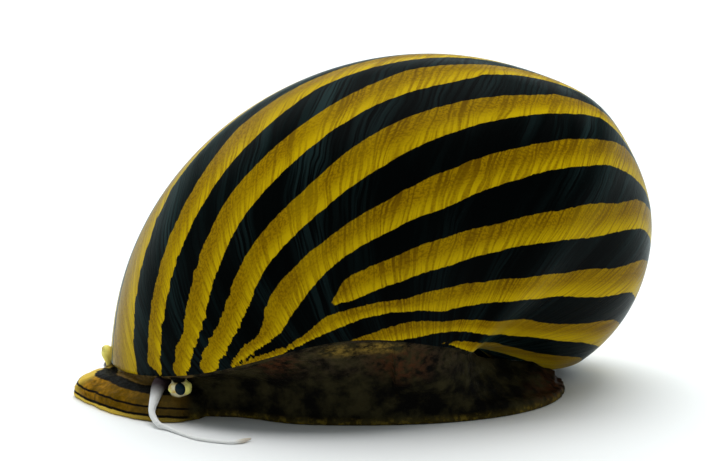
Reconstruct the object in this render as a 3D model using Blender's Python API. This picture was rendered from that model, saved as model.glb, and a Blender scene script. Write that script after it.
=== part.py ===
"""Nerite snail, life size, crawling: a still model of the whole animal.

Metres, +Z up. The snail faces -X, its left side is towards -Y and its sole lies on z = 0.
The shell is a logarithmic spiral whose whorls grow from the apex, at the right rear, over the
top and down to the lip at the front. The body comes out of its underside.
"""
import math

import bmesh
import bpy
from mathutils import Vector

MM = 0.001
GAP = 0.3 * MM  # clearance between neighbouring parts
MERGE = 0.00002

# Shell: the coiling axis and the growth of the spiral
AXIS_ORIGIN = Vector((6.60, 8.25, 7.43)) * MM  # the apex, where the spiral shrinks to a point
AXIS_YAW = 0.06  # the apex points to the right, turned this far to the rear
AXIS_TILT = 0.41  # and raised this far
GROWTH = 0.175  # natural logarithm of the growth for each radian
TOP_RADIUS = 11.72 * MM  # distance of the periphery from the axis at the top of the shell
SPIRE_HEIGHT = 0.514  # heights and depths of the whorl are shares of its radius
BASE_DEPTH = 0.79
SUTURE_RADIUS = 0.20
SPIRE_ROUNDNESS = 2.15
BASE_ROUNDNESS = 2.2
SHELL_LEAN = 0.05  # rearward lean for each unit of height above LEAN_HEIGHT
LEAN_HEIGHT = 6.0 * MM
SWELL_ANGLE, SWELL_SIZE, SWELL_WIDTH = -0.61, 0.049, 0.24  # a growth swelling behind the top
LIP_ANGLE = 3.2  # the spiral ends here, under the body
CLOSING_ANGLE, CLOSING_SHARE = 2.25, 0.96  # from here on the lip closes in on the turn before
WHORLS = 3
STEPS_PER_TURN = 48
SPIRE_STEPS, SHOULDER_STEPS, BASE_STEPS = 5, 6, 10

# Shell margin: level in front and on the right, raised in an arch on the left
MARGIN_LEVEL = 1.35 * MM
ARCH_HEIGHT = 3.2 * MM
ARCH_X = 2.0 * MM
ARCH_FRONT, ARCH_REAR = 7.6 * MM, 7.0 * MM
ARCH_INNER_Y, ARCH_OUTER_Y = 2.0 * MM, -6.0 * MM
REAR_DROP = 0.6 * MM  # the margin comes down behind the operculum
REAR_DROP_X, REAR_DROP_Y = (9.7 * MM, 10.7 * MM), (-3.0 * MM, 0.0)
RECESS_DEPTH = 2.0 * MM  # how far the body reaches into the shell
CUTTER_X, CUTTER_Y = (-11, 16), (-11, 11)  # millimetres over which the underside is shaped finely
CUTTER_COLUMNS, CUTTER_ROWS = 40, 28
CUTTER_REACH = 30 * MM

# Foot: a flat sole, blunt behind, narrower behind the head
SOLE_MIDDLE_X = 1.5 * MM
SOLE_REAR = 9.8 * MM
SOLE_FRONT = 9.8 * MM
SOLE_HALF_WIDTH = 6.7 * MM
SOLE_ROUNDNESS = 2.3
WAIST_X, WAIST_WIDTH, WAIST_SHARE = -3.6 * MM, 1.6 * MM, 0.12
FOOT_HEIGHT = 1.6 * MM
FOOT_FRONT_X, FOOT_REAR_X = -5.2 * MM, 11.3 * MM
FOOT_CUTS = (-1.6 * MM, 4.4 * MM)
TAIL_HEIGHT_FRONT, TAIL_HEIGHT_REAR = 1.05 * MM, 0.38 * MM
FOOT_SECTION = (  # half section as shares of its half width and height: flat sole, thin edge, rounded flank
    (0.955, 0.0), (0.995, 0.06), (1.0, 0.16), (0.985, 0.30), (0.95, 0.52), (0.93, 0.78),
    (0.90, 0.93), (0.84, 1.0), (0.45, 1.0),
)
FLANK_SHARE = 0.93  # where the flank stands on the foot, as a share of the sole's half width

# Lobe beside and behind the operculum: it leans in from the foot to the shell's margin
LOBE_REAR_X = 10.75 * MM
LOBE_INNER_Y, LOBE_HOOK_Y = -1.75 * MM, 0.85 * MM  # its inner side, and where it hooks round to
LOBE_HOOK_X = (9.55 * MM, 10.45 * MM)
LOBE_RISE = 0.5 * MM  # how far its top rises inside the shell's edge
LOBE_MARGIN = (  # (x, y, z) in millimetres, along the shell's lower edge
    (4.4, -7.9, 4.30), (5.9, -6.8, 3.95), (7.2, -5.2, 3.30),
    (8.4, -2.4, 2.50), (9.8, -0.5, 1.35), (10.8, 0.5, 0.80),
)

# Body inside the shell's underside
BODY_MIDDLE_X = 0.8 * MM
BODY_HALF_LENGTH = 10.3 * MM
BODY_HALF_WIDTH = 7.5 * MM

# Operculum: a thin horny plate on the rear of the foot
OPERCULUM_CENTRE = Vector((6.95, 1.85)) * MM
OPERCULUM_LENGTH, OPERCULUM_WIDTH = 4.7 * MM, 6.4 * MM
OPERCULUM_STRAIGHT = 0.8  # bulge of the straighter left edge against the round right one
OPERCULUM_THICKNESS = 0.5 * MM

# Head: turned to the left, with a wide flap in front
HEAD_CENTRE = Vector((-6.3, -1.0)) * MM
HEADING = math.radians(210)
FLAP_RADIUS = 5.2 * MM
FLAP_DIP, FLAP_DIP_TURN, FLAP_DIP_WIDTH = 0.12, math.radians(3), math.radians(30)  # flatter in the middle
FLAP_INNER_RADIUS = 2.6 * MM
FLAP_HALF_ANGLE = math.radians(36)
HEAD_HALF_ANGLE = math.radians(66)
HEAD_HEIGHT_RIGHT, HEAD_HEIGHT_LEFT = 1.0 * MM, 1.45 * MM
HEAD_SLOPE_Y = (2.0 * MM, -5.0 * MM)  # its back rises between these places, from right to left
HEAD_CORNER, HEAD_CORNER_START = 0.08, 0.85  # rounding of the free margin's ends, and where it starts
HEAD_REAR_X = -5.5 * MM
HEAD_REAR_Y = (-5.0, 4.9)  # left and right ends of its rear edge, in millimetres
HEAD_RIGHT_SIDE = ((-7.1, 4.35), (-8.7, 3.35))  # (x, y) in millimetres

# Feelers: (x, y, z, radius) from the root to the tip
FEELER_LEFT = (
    (-7.42, -5.66, 1.38, 0.31), (-7.56, -6.06, 1.16, 0.29), (-7.66, -6.54, 0.74, 0.27),
    (-7.52, -6.80, 0.42, 0.26), (-7.20, -7.15, 0.30, 0.26), (-6.75, -7.80, 0.28, 0.26),
    (-6.10, -8.75, 0.28, 0.26), (-5.50, -9.50, 0.28, 0.26), (-4.75, -10.02, 0.28, 0.26),
    (-4.10, -10.15, 0.28, 0.25), (-3.60, -9.90, 0.28, 0.24), (-3.15, -9.45, 0.28, 0.14),
)
FEELER_RIGHT = (
    (-10.35, 1.95, 1.10, 0.31), (-10.36, 2.45, 0.98, 0.29), (-10.15, 3.05, 0.70, 0.27),
    (-9.80, 3.60, 0.42, 0.26), (-9.40, 4.15, 0.30, 0.26), (-8.95, 4.80, 0.28, 0.26),
    (-8.50, 5.60, 0.28, 0.26), (-8.20, 6.40, 0.28, 0.26), (-8.15, 7.20, 0.28, 0.26),
    (-8.35, 7.95, 0.28, 0.25), (-8.75, 8.45, 0.28, 0.24), (-9.30, 8.75, 0.28, 0.14),
)
FEELER_CUTS = (0.27, 0.66)  # where each feeler is parted, as shares of its length

# Eyes, each at the end of a short stalk: the stalk's centre, its half sizes and the way it points
EYE_RADIUS = 0.28 * MM
EYE_GAP = 0.12 * MM
EYE_STALKS = {
    "left": (Vector((-6.34, -5.50, 1.62)) * MM, Vector((0.44, 0.36, 0.32)) * MM, Vector((0.0, -1.0, 0.05))),
    "right": (Vector((-9.95, 1.42, 1.52)) * MM, Vector((0.25, 0.40, 0.31)) * MM, Vector((-0.25, 0.95, 0.1))),
}

COLOURS = {
    "shell": ((0.36, 0.27, 0.02, 1), 0.25),
    "flesh": ((0.045, 0.035, 0.018, 1), 0.5),
    "flap": ((0.28, 0.12, 0.02, 1), 0.5),
    "feeler": ((0.62, 0.58, 0.52, 1), 0.45),
    "stalk": ((0.72, 0.58, 0.20, 1), 0.4),
    "eye": ((0.01, 0.012, 0.02, 1), 0.1),
    "operculum": ((0.16, 0.06, 0.02, 1), 0.35),
}


def smooth(value):
    value = min(max(value, 0.0), 1.0)
    return value * value * (3 - 2 * value)


def blend(low, high, share):
    return low + (high - low) * share


def material(name):
    found = bpy.data.materials.get(name)
    if found:
        return found
    colour, roughness = COLOURS[name]
    new = bpy.data.materials.new(name)
    new.use_nodes = True
    shader = new.node_tree.nodes["Principled BSDF"]
    shader.inputs["Base Color"].default_value = colour
    shader.inputs["Roughness"].default_value = roughness
    shader.inputs["Metallic"].default_value = 0.0
    return new


def add_object(name, mesh, finish, collection):
    thing = bpy.data.objects.new(name, mesh)
    collection.objects.link(thing)
    if finish:
        mesh.materials.append(material(finish))
    return thing


def finish_mesh(name, built):
    """Turn a closed bmesh into a smooth-shaded mesh with its faces pointing out."""
    bmesh.ops.remove_doubles(built, verts=built.verts, dist=MERGE)
    bmesh.ops.triangulate(built, faces=[face for face in built.faces if len(face.verts) > 4])
    bmesh.ops.recalc_face_normals(built, faces=built.faces)
    mesh = bpy.data.meshes.new(name)
    built.to_mesh(mesh)
    built.free()
    mesh.shade_smooth()
    mesh.set_sharp_from_angle(angle=math.radians(40))
    return mesh


def loft(name, rings, finish, collection):
    """A closed solid through rings that all have the same number of points."""
    built = bmesh.new()
    rows = [[built.verts.new(point) for point in ring] for ring in rings]
    count = len(rows[0])
    for here, ahead in zip(rows, rows[1:]):
        for i in range(count):
            j = (i + 1) % count
            built.faces.new((here[i], here[j], ahead[j], ahead[i]))
    built.faces.new(rows[0])
    built.faces.new(rows[-1])
    return add_object(name, finish_mesh(name, built), finish, collection)


def axis_frame():
    """Apex direction, the upward normal to it, and the forward one."""
    apex = Vector((
        math.sin(AXIS_YAW) * math.cos(AXIS_TILT),
        math.cos(AXIS_YAW) * math.cos(AXIS_TILT),
        math.sin(AXIS_TILT),
    ))
    up = Vector((0, 0, 1))
    up = (up - up.dot(apex) * apex).normalized()
    return apex, up, up.cross(apex)


def spire_curve(radius):
    return (1 - radius ** SPIRE_ROUNDNESS) ** (1 / SPIRE_ROUNDNESS)


def whorl_profile():
    """Section of a whorl from the suture to the base pole.

    Each station is (radius, height, share in the swelling, share in the closing of the lip).
    """
    turn = math.exp(2 * math.pi * GROWTH)
    next_suture = turn * SUTURE_RADIUS
    drop = spire_curve(next_suture) - turn * spire_curve(SUTURE_RADIUS)
    periphery = SPIRE_HEIGHT * drop / (turn - 1)
    right_angle = math.pi / 2
    covered = math.asin((next_suture - SUTURE_RADIUS) / (1 - SUTURE_RADIUS))
    angles = [covered * i / SPIRE_STEPS for i in range(SPIRE_STEPS)]
    angles += [blend(covered, right_angle, i / SHOULDER_STEPS) for i in range(SHOULDER_STEPS)]
    profile = []
    for angle in angles:
        radius = blend(SUTURE_RADIUS, 1.0, math.sin(angle))
        height = periphery + SPIRE_HEIGHT * spire_curve(radius)
        profile.append((radius, height, smooth(angle / right_angle), 1.0))
    for i in range(BASE_STEPS + 1):
        angle = right_angle * i / BASE_STEPS
        radius = math.cos(angle) ** (2 / BASE_ROUNDNESS) if i < BASE_STEPS else 0.0
        height = periphery - BASE_DEPTH * math.sin(angle) ** (2 / BASE_ROUNDNESS)
        profile.append((radius, height, 1.0, 1 - smooth(i / BASE_STEPS * 2 - 1)))
    return profile


def shell_point(angle, station):
    """A point of the shell's surface at a growth angle and one station of the profile."""
    radius, height, share, _ = station
    apex, up, forward = axis_frame()
    swell = SWELL_SIZE * math.exp(-(((angle - SWELL_ANGLE) / SWELL_WIDTH) ** 2))
    size = TOP_RADIUS * math.exp(GROWTH * angle) * (1 + swell * share)
    outward = math.cos(angle) * up + math.sin(angle) * forward
    point = AXIS_ORIGIN + size * (radius * outward + height * apex)
    point.x += SHELL_LEAN * (point.z - LEAN_HEIGHT)
    return point


def closing_point(angle, profile, i):
    """A point of the surface where the lip closes in: it moves towards the turn before."""
    share = CLOSING_SHARE * smooth((angle - CLOSING_ANGLE) / (LIP_ANGLE - CLOSING_ANGLE)) * profile[i][3]
    before = shell_point(angle - 2 * math.pi, profile[max(i, SPIRE_STEPS)])
    return shell_point(angle, profile[i]).lerp(before, share)


def spiral_mesh():
    """The closed spiral before its underside is cut: each turn is welded along the suture."""
    built = bmesh.new()
    profile = whorl_profile()
    rows = WHORLS * STEPS_PER_TURN
    last_turn = rows - STEPS_PER_TURN
    grid = []
    for row in range(rows + 1):
        angle = LIP_ANGLE + 2 * math.pi * (row - rows) / STEPS_PER_TURN
        count = len(profile) if row >= last_turn else SPIRE_STEPS
        grid.append([built.verts.new(closing_point(angle, profile, i)) for i in range(count)])
    for row in range(last_turn):
        grid[row].append(grid[row + STEPS_PER_TURN][0])
    built.verts.remove(grid[last_turn][SPIRE_STEPS])
    grid[last_turn][SPIRE_STEPS] = grid[rows][0]
    for here, ahead in zip(grid, grid[1:]):
        for i in range(min(len(here), len(ahead)) - 1):
            built.faces.new((here[i], here[i + 1], ahead[i + 1], ahead[i]))
    tip_loop = [grid[row][0] for row in range(STEPS_PER_TURN + 1)]
    tip_loop += grid[0][SPIRE_STEPS - 1:0:-1]
    centre = built.verts.new(sum((vert.co for vert in tip_loop), Vector()) / len(tip_loop))
    for i, vert in enumerate(tip_loop):
        built.faces.new((tip_loop[(i + 1) % len(tip_loop)], vert, centre))
    end_loop = list(grid[rows])
    end_loop += [grid[row][-1] for row in range(rows - 1, last_turn - 1, -1)]
    end_loop += grid[last_turn][-2:SPIRE_STEPS:-1]
    built.faces.new(end_loop)
    return finish_mesh("shell", built)


def operculum_level(x):
    """Height of the plate's underside along the rear of the foot."""
    return tail_height(x) + GAP


def margin_height(x, y):
    """Height of the shell's underside."""
    reach = ARCH_FRONT if x < ARCH_X else ARCH_REAR
    along = math.exp(-(((x - ARCH_X) / reach) ** 2))
    across = smooth((ARCH_INNER_Y - y) / (ARCH_INNER_Y - ARCH_OUTER_Y))
    behind = smooth((x - REAR_DROP_X[0]) / (REAR_DROP_X[1] - REAR_DROP_X[0]))
    behind *= smooth((y - REAR_DROP_Y[0]) / (REAR_DROP_Y[1] - REAR_DROP_Y[0]))
    level = MARGIN_LEVEL - REAR_DROP * behind + ARCH_HEIGHT * along * across
    pocket = operculum_level(x) + OPERCULUM_THICKNESS + GAP
    side = abs(y - OPERCULUM_CENTRE.y) - OPERCULUM_WIDTH / 2 - GAP
    reach = abs(x - OPERCULUM_CENTRE.x) - OPERCULUM_LENGTH / 2 - GAP
    inside = smooth(1 - side / MM) * smooth(1 - reach / MM * 1.5)
    return blend(level, max(level, pocket), inside)


def sole_half_width(x):
    reach = SOLE_REAR if x > SOLE_MIDDLE_X else SOLE_FRONT
    along = min(abs(x - SOLE_MIDDLE_X) / reach, 0.997)
    waist = 1 - WAIST_SHARE * math.exp(-(((x - WAIST_X) / WAIST_WIDTH) ** 2))
    return SOLE_HALF_WIDTH * waist * math.sqrt(1 - along ** SOLE_ROUNDNESS)


def tail_height(x):
    start = FOOT_CUTS[1] + GAP
    share = (x - start) / (FOOT_REAR_X - start)
    return blend(TAIL_HEIGHT_FRONT, TAIL_HEIGHT_REAR, min(max(share, 0.0), 1.0))


def foot_height(x):
    return FOOT_HEIGHT if x < FOOT_CUTS[1] + GAP / 2 else tail_height(x)


def stations(start, end, count):
    """Places along the body, closer together towards both ends."""
    for i in range(count + 1):
        yield blend(start, end, 0.5 - 0.5 * math.cos(math.pi * i / count))


def foot_section(x):
    """A cut across the foot: a flat sole, a thin margin and a rounded back."""
    width = sole_half_width(x)
    height = foot_height(x)
    right = [Vector((x, width * across, height * up)) for across, up in FOOT_SECTION]
    left = [Vector((x, -point.y, point.z)) for point in reversed(right)]
    return right + left


def lobe_margin(x):
    """Where the lobe meets the shell's lower edge, as (y, z)."""
    for (x0, y0, z0), (x1, y1, z1) in zip(LOBE_MARGIN, LOBE_MARGIN[1:]):
        if x <= x1 * MM or x1 == LOBE_MARGIN[-1][0]:
            share = (x / MM - x0) / (x1 - x0)
            return blend(y0, y1, share) * MM, blend(z0, z1, share) * MM


def lobe_section(x):
    """A cut across the lobe beside the operculum, before the shell shapes its top."""
    outer = -FLANK_SHARE * sole_half_width(x)
    bottom = tail_height(x) + GAP
    hook = smooth((x - LOBE_HOOK_X[0]) / (LOBE_HOOK_X[1] - LOBE_HOOK_X[0]))
    inner = blend(LOBE_INNER_Y, LOBE_HOOK_Y, hook)
    edge, level = lobe_margin(x)
    edge = min(edge, inner - 0.3 * MM)
    section = [(outer, bottom)]
    for share, bulge in ((0.25, 0.15), (0.5, 0.22), (0.75, 0.15)):
        section.append((blend(outer, edge, share) - bulge * MM, blend(bottom, level, share)))
    section += [(edge, level), (blend(edge, inner, 0.4), level + LOBE_RISE), (inner, level + LOBE_RISE)]
    section.append((inner, bottom))
    return [Vector((x, y, z)) for y, z in section]


def body_section(x, grow=0.0):
    """A cut across the body between the foot and the roof of the shell's recess."""
    inner = BODY_HALF_WIDTH * math.sqrt(1 - ((x - BODY_MIDDLE_X) / BODY_HALF_LENGTH) ** 2) + grow
    foot = sole_half_width(x) * FLANK_SHARE + grow
    bottom = FOOT_HEIGHT + GAP - grow * 4
    sides = {}
    for side in (-1, 1):
        edge = margin_height(x, side * inner)
        waist = max(bottom + 0.1 * MM, edge - 0.8 * MM)
        sides[side] = [
            Vector((x, side * foot, bottom)),
            Vector((x, side * blend(foot, inner, 0.6), blend(bottom, waist, 0.5))),
            Vector((x, side * inner, waist)),
            Vector((x, side * inner, edge + RECESS_DEPTH * 0.6 + grow)),
        ]
    roof = []
    for i in range(7):
        y = inner * (0.84 - 0.28 * i)
        roof.append(Vector((x, y, margin_height(x, y) + RECESS_DEPTH + grow)))
    return sides[1] + roof + list(reversed(sides[-1]))


def polar(radius, turn):
    """A place on the floor at a distance from the head's centre, turned from its heading."""
    angle = HEADING + turn
    return HEAD_CENTRE + radius * Vector((math.cos(angle), math.sin(angle)))


def flap_radius(turn):
    return FLAP_RADIUS * (1 - FLAP_DIP * math.exp(-(((turn - FLAP_DIP_TURN) / FLAP_DIP_WIDTH) ** 2)))


def head_height(place):
    """Height of the head's back, lower on the right, where the shell comes closer."""
    share = smooth((HEAD_SLOPE_Y[0] - place.y) / (HEAD_SLOPE_Y[0] - HEAD_SLOPE_Y[1]))
    return blend(HEAD_HEIGHT_RIGHT, HEAD_HEIGHT_LEFT, share)


# Skirt of the head's free margin: how far it stands in, and its height as a share of the back's
SKIRT = ((0.18, 0.0), (0.0, 0.10), (0.0, 0.36), (0.12, 0.54), (0.45, 0.76), (0.95, 0.92), (1.5, 1.0))


def flap_rings():
    rings = []
    count = 18
    for i in range(count + 1):
        turn = blend(-FLAP_HALF_ANGLE, FLAP_HALF_ANGLE, i / count)
        height = head_height(polar(flap_radius(turn), turn))
        ring = [(*polar(FLAP_INNER_RADIUS, turn), 0.0)]
        for inset, share in SKIRT:
            ring.append((*polar(flap_radius(turn) - inset * MM, turn), height * share))
        ring.append((*polar(FLAP_INNER_RADIUS, turn), height))
        rings.append([Vector(point) for point in ring])
    return rings


def rim_place(turn):
    """A place on the head's free margin, drawn in at its ends."""
    share = abs(turn) / HEAD_HALF_ANGLE
    ends = smooth((share - HEAD_CORNER_START) / (1 - HEAD_CORNER_START))
    return polar(flap_radius(turn) * (1 - HEAD_CORNER * ends), turn)


def head_outline():
    """Plan of the head as (place, free), where free margins carry the skirt."""
    outline = []
    inner = FLAP_INNER_RADIUS - GAP
    inner_turn = FLAP_HALF_ANGLE + math.radians(7)
    outer_turn = FLAP_HALF_ANGLE + math.radians(4)
    for i in range(9):
        outline.append((polar(inner, blend(-inner_turn, inner_turn, i / 8)), 0.0))
    for i in range(7):
        outline.append((rim_place(blend(outer_turn, HEAD_HALF_ANGLE, i / 6)), 1.0))
    for i in range(9):
        free = 0.3 if i in (0, 8) else 0.0
        outline.append((Vector((HEAD_REAR_X, blend(*HEAD_REAR_Y, i / 8) * MM)), free))
    for place in HEAD_RIGHT_SIDE:
        outline.append((Vector(place) * MM, 1.0))
    for i in range(7):
        outline.append((rim_place(blend(-HEAD_HALF_ANGLE, -outer_turn, i / 6)), 1.0))
    return outline


def head_rings():
    outline = head_outline()
    rings = []
    for inset, share in SKIRT:
        ring = []
        for place, free in outline:
            inward = HEAD_CENTRE - place
            moved = place + inward.normalized() * min(inset * free * MM, inward.length * 0.5)
            ring.append(Vector((*moved, head_height(place) * share)))
        rings.append(ring)
    return rings


def feeler_lengths(points):
    """Distance of each point from the feeler's root."""
    lengths = [0.0]
    for here, ahead in zip(points, points[1:]):
        lengths.append(lengths[-1] + (Vector(ahead[:3]) - Vector(here[:3])).length)
    return lengths


def feeler_at(points, lengths, distance):
    """Place and radius at a distance from the feeler's root, as (x, y, z, radius)."""
    for i in range(len(points) - 1):
        if distance <= lengths[i + 1] or i == len(points) - 2:
            share = (distance - lengths[i]) / (lengths[i + 1] - lengths[i])
            here, ahead = Vector(points[i]), Vector(points[i + 1])
            return here + (ahead - here) * min(max(share, 0.0), 1.0)
    return Vector(points[-1])


def add_feeler(side, points, collection):
    """A feeler in three lengths, each a tapering tube."""
    lengths = feeler_lengths(points)
    total = lengths[-1]
    gap = GAP / MM
    cuts = [0.0] + [share * total for share in FEELER_CUTS] + [total]
    for i, part in enumerate(("base", "middle", "tip")):
        start = cuts[i] + (gap / 2 if i else 0.0)
        end = cuts[i + 1] - (gap / 2 if i < 2 else 0.0)
        name = f"feeler_{side}_{part}"
        curve = bpy.data.curves.new(name, "CURVE")
        curve.dimensions = "3D"
        curve.bevel_depth = MM
        curve.bevel_resolution = 2
        curve.use_fill_caps = True
        steps = 8
        spline = curve.splines.new("POLY")
        spline.points.add(steps)
        for step in range(steps + 1):
            x, y, z, radius = feeler_at(points, lengths, blend(start, end, step / steps))
            spline.points[step].co = (x * MM, y * MM, z * MM, 1.0)
            spline.points[step].radius = radius
        add_object(name, curve, "feeler", collection)


def add_ball(name, centre, size, direction, finish, collection):
    """A rounded knob, longer along its direction."""
    built = bmesh.new()
    bmesh.ops.create_uvsphere(built, u_segments=16, v_segments=10, radius=1.0)
    mesh = finish_mesh(name, built)
    thing = add_object(name, mesh, finish, collection)
    thing.location = centre
    thing.rotation_euler = direction.to_track_quat("Z", "Y").to_euler()
    thing.scale = size
    return thing


def add_eyes(collection):
    ball = Vector((EYE_RADIUS, EYE_RADIUS, EYE_RADIUS))
    for side, (centre, size, direction) in EYE_STALKS.items():
        direction = direction.normalized()
        add_ball(f"eye_stalk_{side}", centre, size, direction, "stalk", collection)
        reach = size.z + EYE_GAP + EYE_RADIUS
        add_ball(f"eye_{side}", centre + direction * reach, ball, direction, "eye", collection)


def add_operculum(collection):
    """A half-moon plate, straight on its left edge, tilted to lie on the tail."""
    curve = bpy.data.curves.new("operculum", "CURVE")
    curve.dimensions = "2D"
    curve.fill_mode = "BOTH"
    curve.extrude = OPERCULUM_THICKNESS / 2
    spline = curve.splines.new("POLY")
    count = 28
    spline.points.add(count - 1)
    for i in range(count):
        angle = 2 * math.pi * i / count
        x = OPERCULUM_LENGTH / 2 * math.cos(angle)
        bulge = 1.0 if math.sin(angle) > 0 else OPERCULUM_STRAIGHT
        y = OPERCULUM_WIDTH / 2 * math.sin(angle) * bulge
        spline.points[i].co = (x, y, 0.0, 1.0)
    spline.use_cyclic_u = True
    thing = add_object("operculum", curve, "operculum", collection)
    near = OPERCULUM_CENTRE.x - OPERCULUM_LENGTH / 2
    far = OPERCULUM_CENTRE.x + OPERCULUM_LENGTH / 2
    drop = operculum_level(near) - operculum_level(far)
    thing.rotation_euler.y = math.atan2(drop, OPERCULUM_LENGTH)
    height = operculum_level(OPERCULUM_CENTRE.x) + OPERCULUM_THICKNESS / 2
    thing.location = (OPERCULUM_CENTRE.x, OPERCULUM_CENTRE.y, height)
    return thing


def underside_cutter(collection):
    """A block whose top is the shell's underside, fine under the shell and wide around it."""
    far = CUTTER_REACH
    along = [blend(*CUTTER_X, i / CUTTER_COLUMNS) * MM for i in range(CUTTER_COLUMNS + 1)]
    across = [blend(*CUTTER_Y, i / CUTTER_ROWS) * MM for i in range(CUTTER_ROWS + 1)]
    along = [-far] + along + [far]
    across = [-far] + across + [far]
    built = bmesh.new()
    top = [[built.verts.new((x, y, margin_height(x, y))) for y in across] for x in along]
    for here, ahead in zip(top, top[1:]):
        for i in range(len(across) - 1):
            built.faces.new((here[i], ahead[i], ahead[i + 1], here[i + 1]))
    rim = [edge for edge in built.edges if edge.is_boundary]
    grown = bmesh.ops.extrude_edge_only(built, edges=rim)["geom"]
    lower = [item for item in grown if isinstance(item, bmesh.types.BMVert)]
    for vert in lower:
        vert.co.z = -far
    bmesh.ops.contextual_create(built, geom=[edge for edge in built.edges if edge.is_boundary])
    return add_object("underside_cutter", finish_mesh("underside_cutter", built), None, collection)


def grown_copy(thing, name, collection):
    """The finished solid of an object, swollen by the gap, to cut its neighbours clear of it."""
    bpy.context.view_layer.update()
    evaluated = thing.evaluated_get(bpy.context.evaluated_depsgraph_get())
    mesh = bpy.data.meshes.new_from_object(evaluated)
    built = bmesh.new()
    built.from_mesh(mesh)
    bmesh.ops.remove_doubles(built, verts=built.verts, dist=MERGE)
    built.normal_update()
    for vert in built.verts:
        vert.co += vert.normal * GAP
    built.to_mesh(mesh)
    built.free()
    mesh.materials.clear()
    return add_object(name, mesh, None, collection)


def cut(thing, cutter, name):
    """Take a cutter away from a solid."""
    boolean = thing.modifiers.new(name, "BOOLEAN")
    boolean.operation = "DIFFERENCE"
    boolean.solver = "EXACT"
    boolean.object = cutter
    cutter.hide_render = True
    cutter.display_type = "WIRE"


def build():
    """Clear the scene and make every part of the snail."""
    for thing in list(bpy.data.objects):
        bpy.data.objects.remove(thing)
    snail = bpy.data.collections.new("nerite_snail")
    cutters = bpy.data.collections.new("cutters")
    for collection in (snail, cutters):
        bpy.context.scene.collection.children.link(collection)

    shell = add_object("shell", spiral_mesh(), "shell", snail)
    cut(shell, underside_cutter(cutters), "underside")
    body_start, body_end = FOOT_FRONT_X, FOOT_CUTS[1]
    recess = [body_section(x, GAP) for x in stations(body_start - GAP, body_end + GAP, 12)]
    cut(shell, loft("recess_cutter", recess, None, cutters), "recess")
    loft("mantle", [body_section(x) for x in stations(body_start, body_end, 12)], "flesh", snail)

    foot_starts = (FOOT_FRONT_X, FOOT_CUTS[0] + GAP, FOOT_CUTS[1] + GAP)
    foot_ends = (FOOT_CUTS[0], FOOT_CUTS[1], FOOT_REAR_X)
    for name, start, end in zip(("foot_front", "foot_middle", "foot_tail"), foot_starts, foot_ends):
        loft(name, [foot_section(x) for x in stations(start, end, 14)], "flesh", snail)

    lobe_start = FOOT_CUTS[1] + GAP
    lobe_rings = [lobe_section(x) for x in stations(lobe_start, LOBE_REAR_X, 12)]
    lobe = loft("opercular_lobe", lobe_rings, "flesh", snail)
    cut(lobe, grown_copy(shell, "shell_clearance", cutters), "shell_clearance")

    loft("head_flap", flap_rings(), "flap", snail)
    loft("head", head_rings(), "flesh", snail)
    add_feeler("left", FEELER_LEFT, snail)
    add_feeler("right", FEELER_RIGHT, snail)
    add_eyes(snail)
    add_operculum(snail)


build()
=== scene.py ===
"""Nerite snail: the looks of a life-size still model, laid out as an add-on.

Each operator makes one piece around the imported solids: the banded shell, the soft body, the eyes
and the operculum, and the last one makes the stage. Shapes are worked out in millimetres and
turned into metres when their mesh is made. The snail faces -X, its left side is towards -Y and
its sole lies on z = 0.
"""
import math

import bmesh
import bpy
import numpy as np
from bpy.props import FloatProperty, FloatVectorProperty, IntProperty, PointerProperty
from mathutils import Matrix, Vector, noise


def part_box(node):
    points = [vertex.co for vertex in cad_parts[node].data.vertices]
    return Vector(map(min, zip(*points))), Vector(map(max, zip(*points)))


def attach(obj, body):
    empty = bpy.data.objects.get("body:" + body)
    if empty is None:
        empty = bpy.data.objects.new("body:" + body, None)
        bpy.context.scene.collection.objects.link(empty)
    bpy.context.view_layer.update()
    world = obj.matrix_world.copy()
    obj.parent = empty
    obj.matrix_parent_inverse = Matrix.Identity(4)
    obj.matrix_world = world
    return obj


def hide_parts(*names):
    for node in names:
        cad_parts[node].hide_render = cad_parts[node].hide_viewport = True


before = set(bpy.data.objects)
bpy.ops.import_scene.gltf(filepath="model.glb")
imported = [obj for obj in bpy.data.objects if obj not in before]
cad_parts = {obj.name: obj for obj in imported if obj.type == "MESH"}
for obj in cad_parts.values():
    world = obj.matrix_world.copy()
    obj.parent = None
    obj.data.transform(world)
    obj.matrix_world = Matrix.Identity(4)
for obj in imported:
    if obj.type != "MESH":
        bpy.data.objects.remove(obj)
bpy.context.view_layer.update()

bl_info = {
    "name": "Nerite Snail",
    "version": (1, 0, 0),
    "blender": (4, 5, 0),
    "location": "View3D > Sidebar > Nerite Snail",
    "description": "Builds a life-size nerite snail: banded shell, soft body, eyes, operculum and stage",
    "category": "Add Mesh",
}

MM = 0.001

# Shell, in millimetres and radians: the coiling axis and the growth of the spiral
AXIS_ORIGIN = np.array((6.60, 8.25, 7.43))
AXIS_YAW, AXIS_TILT = 0.06, 0.41
GROWTH = 0.175  # growth of its size for each radian, as an exponent
TOP_RADIUS = 11.72
SPIRE_HEIGHT, BASE_DEPTH = 0.514, 0.79
SUTURE_RADIUS = 0.20
SPIRE_ROUNDNESS, BASE_ROUNDNESS = 2.15, 2.2
SHELL_LEAN, LEAN_HEIGHT = 0.05, 6.0  # it leans back above this height
SWELL_ANGLE, SWELL_SIZE, SWELL_WIDTH = -0.61, 0.049, 0.24
LIP_ANGLE = 3.2
CLOSING_ANGLE = 2.25  # from here to the lip the whorl closes in on the turn before
WHORLS = 3
ONE_TURN = 2 * math.pi
TURN_GROWTH = math.exp(ONE_TURN * GROWTH)
NEXT_SUTURE = TURN_GROWTH * SUTURE_RADIUS
COVERED = math.asin((NEXT_SUTURE - SUTURE_RADIUS) / (1 - SUTURE_RADIUS)) * 2 / math.pi

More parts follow.
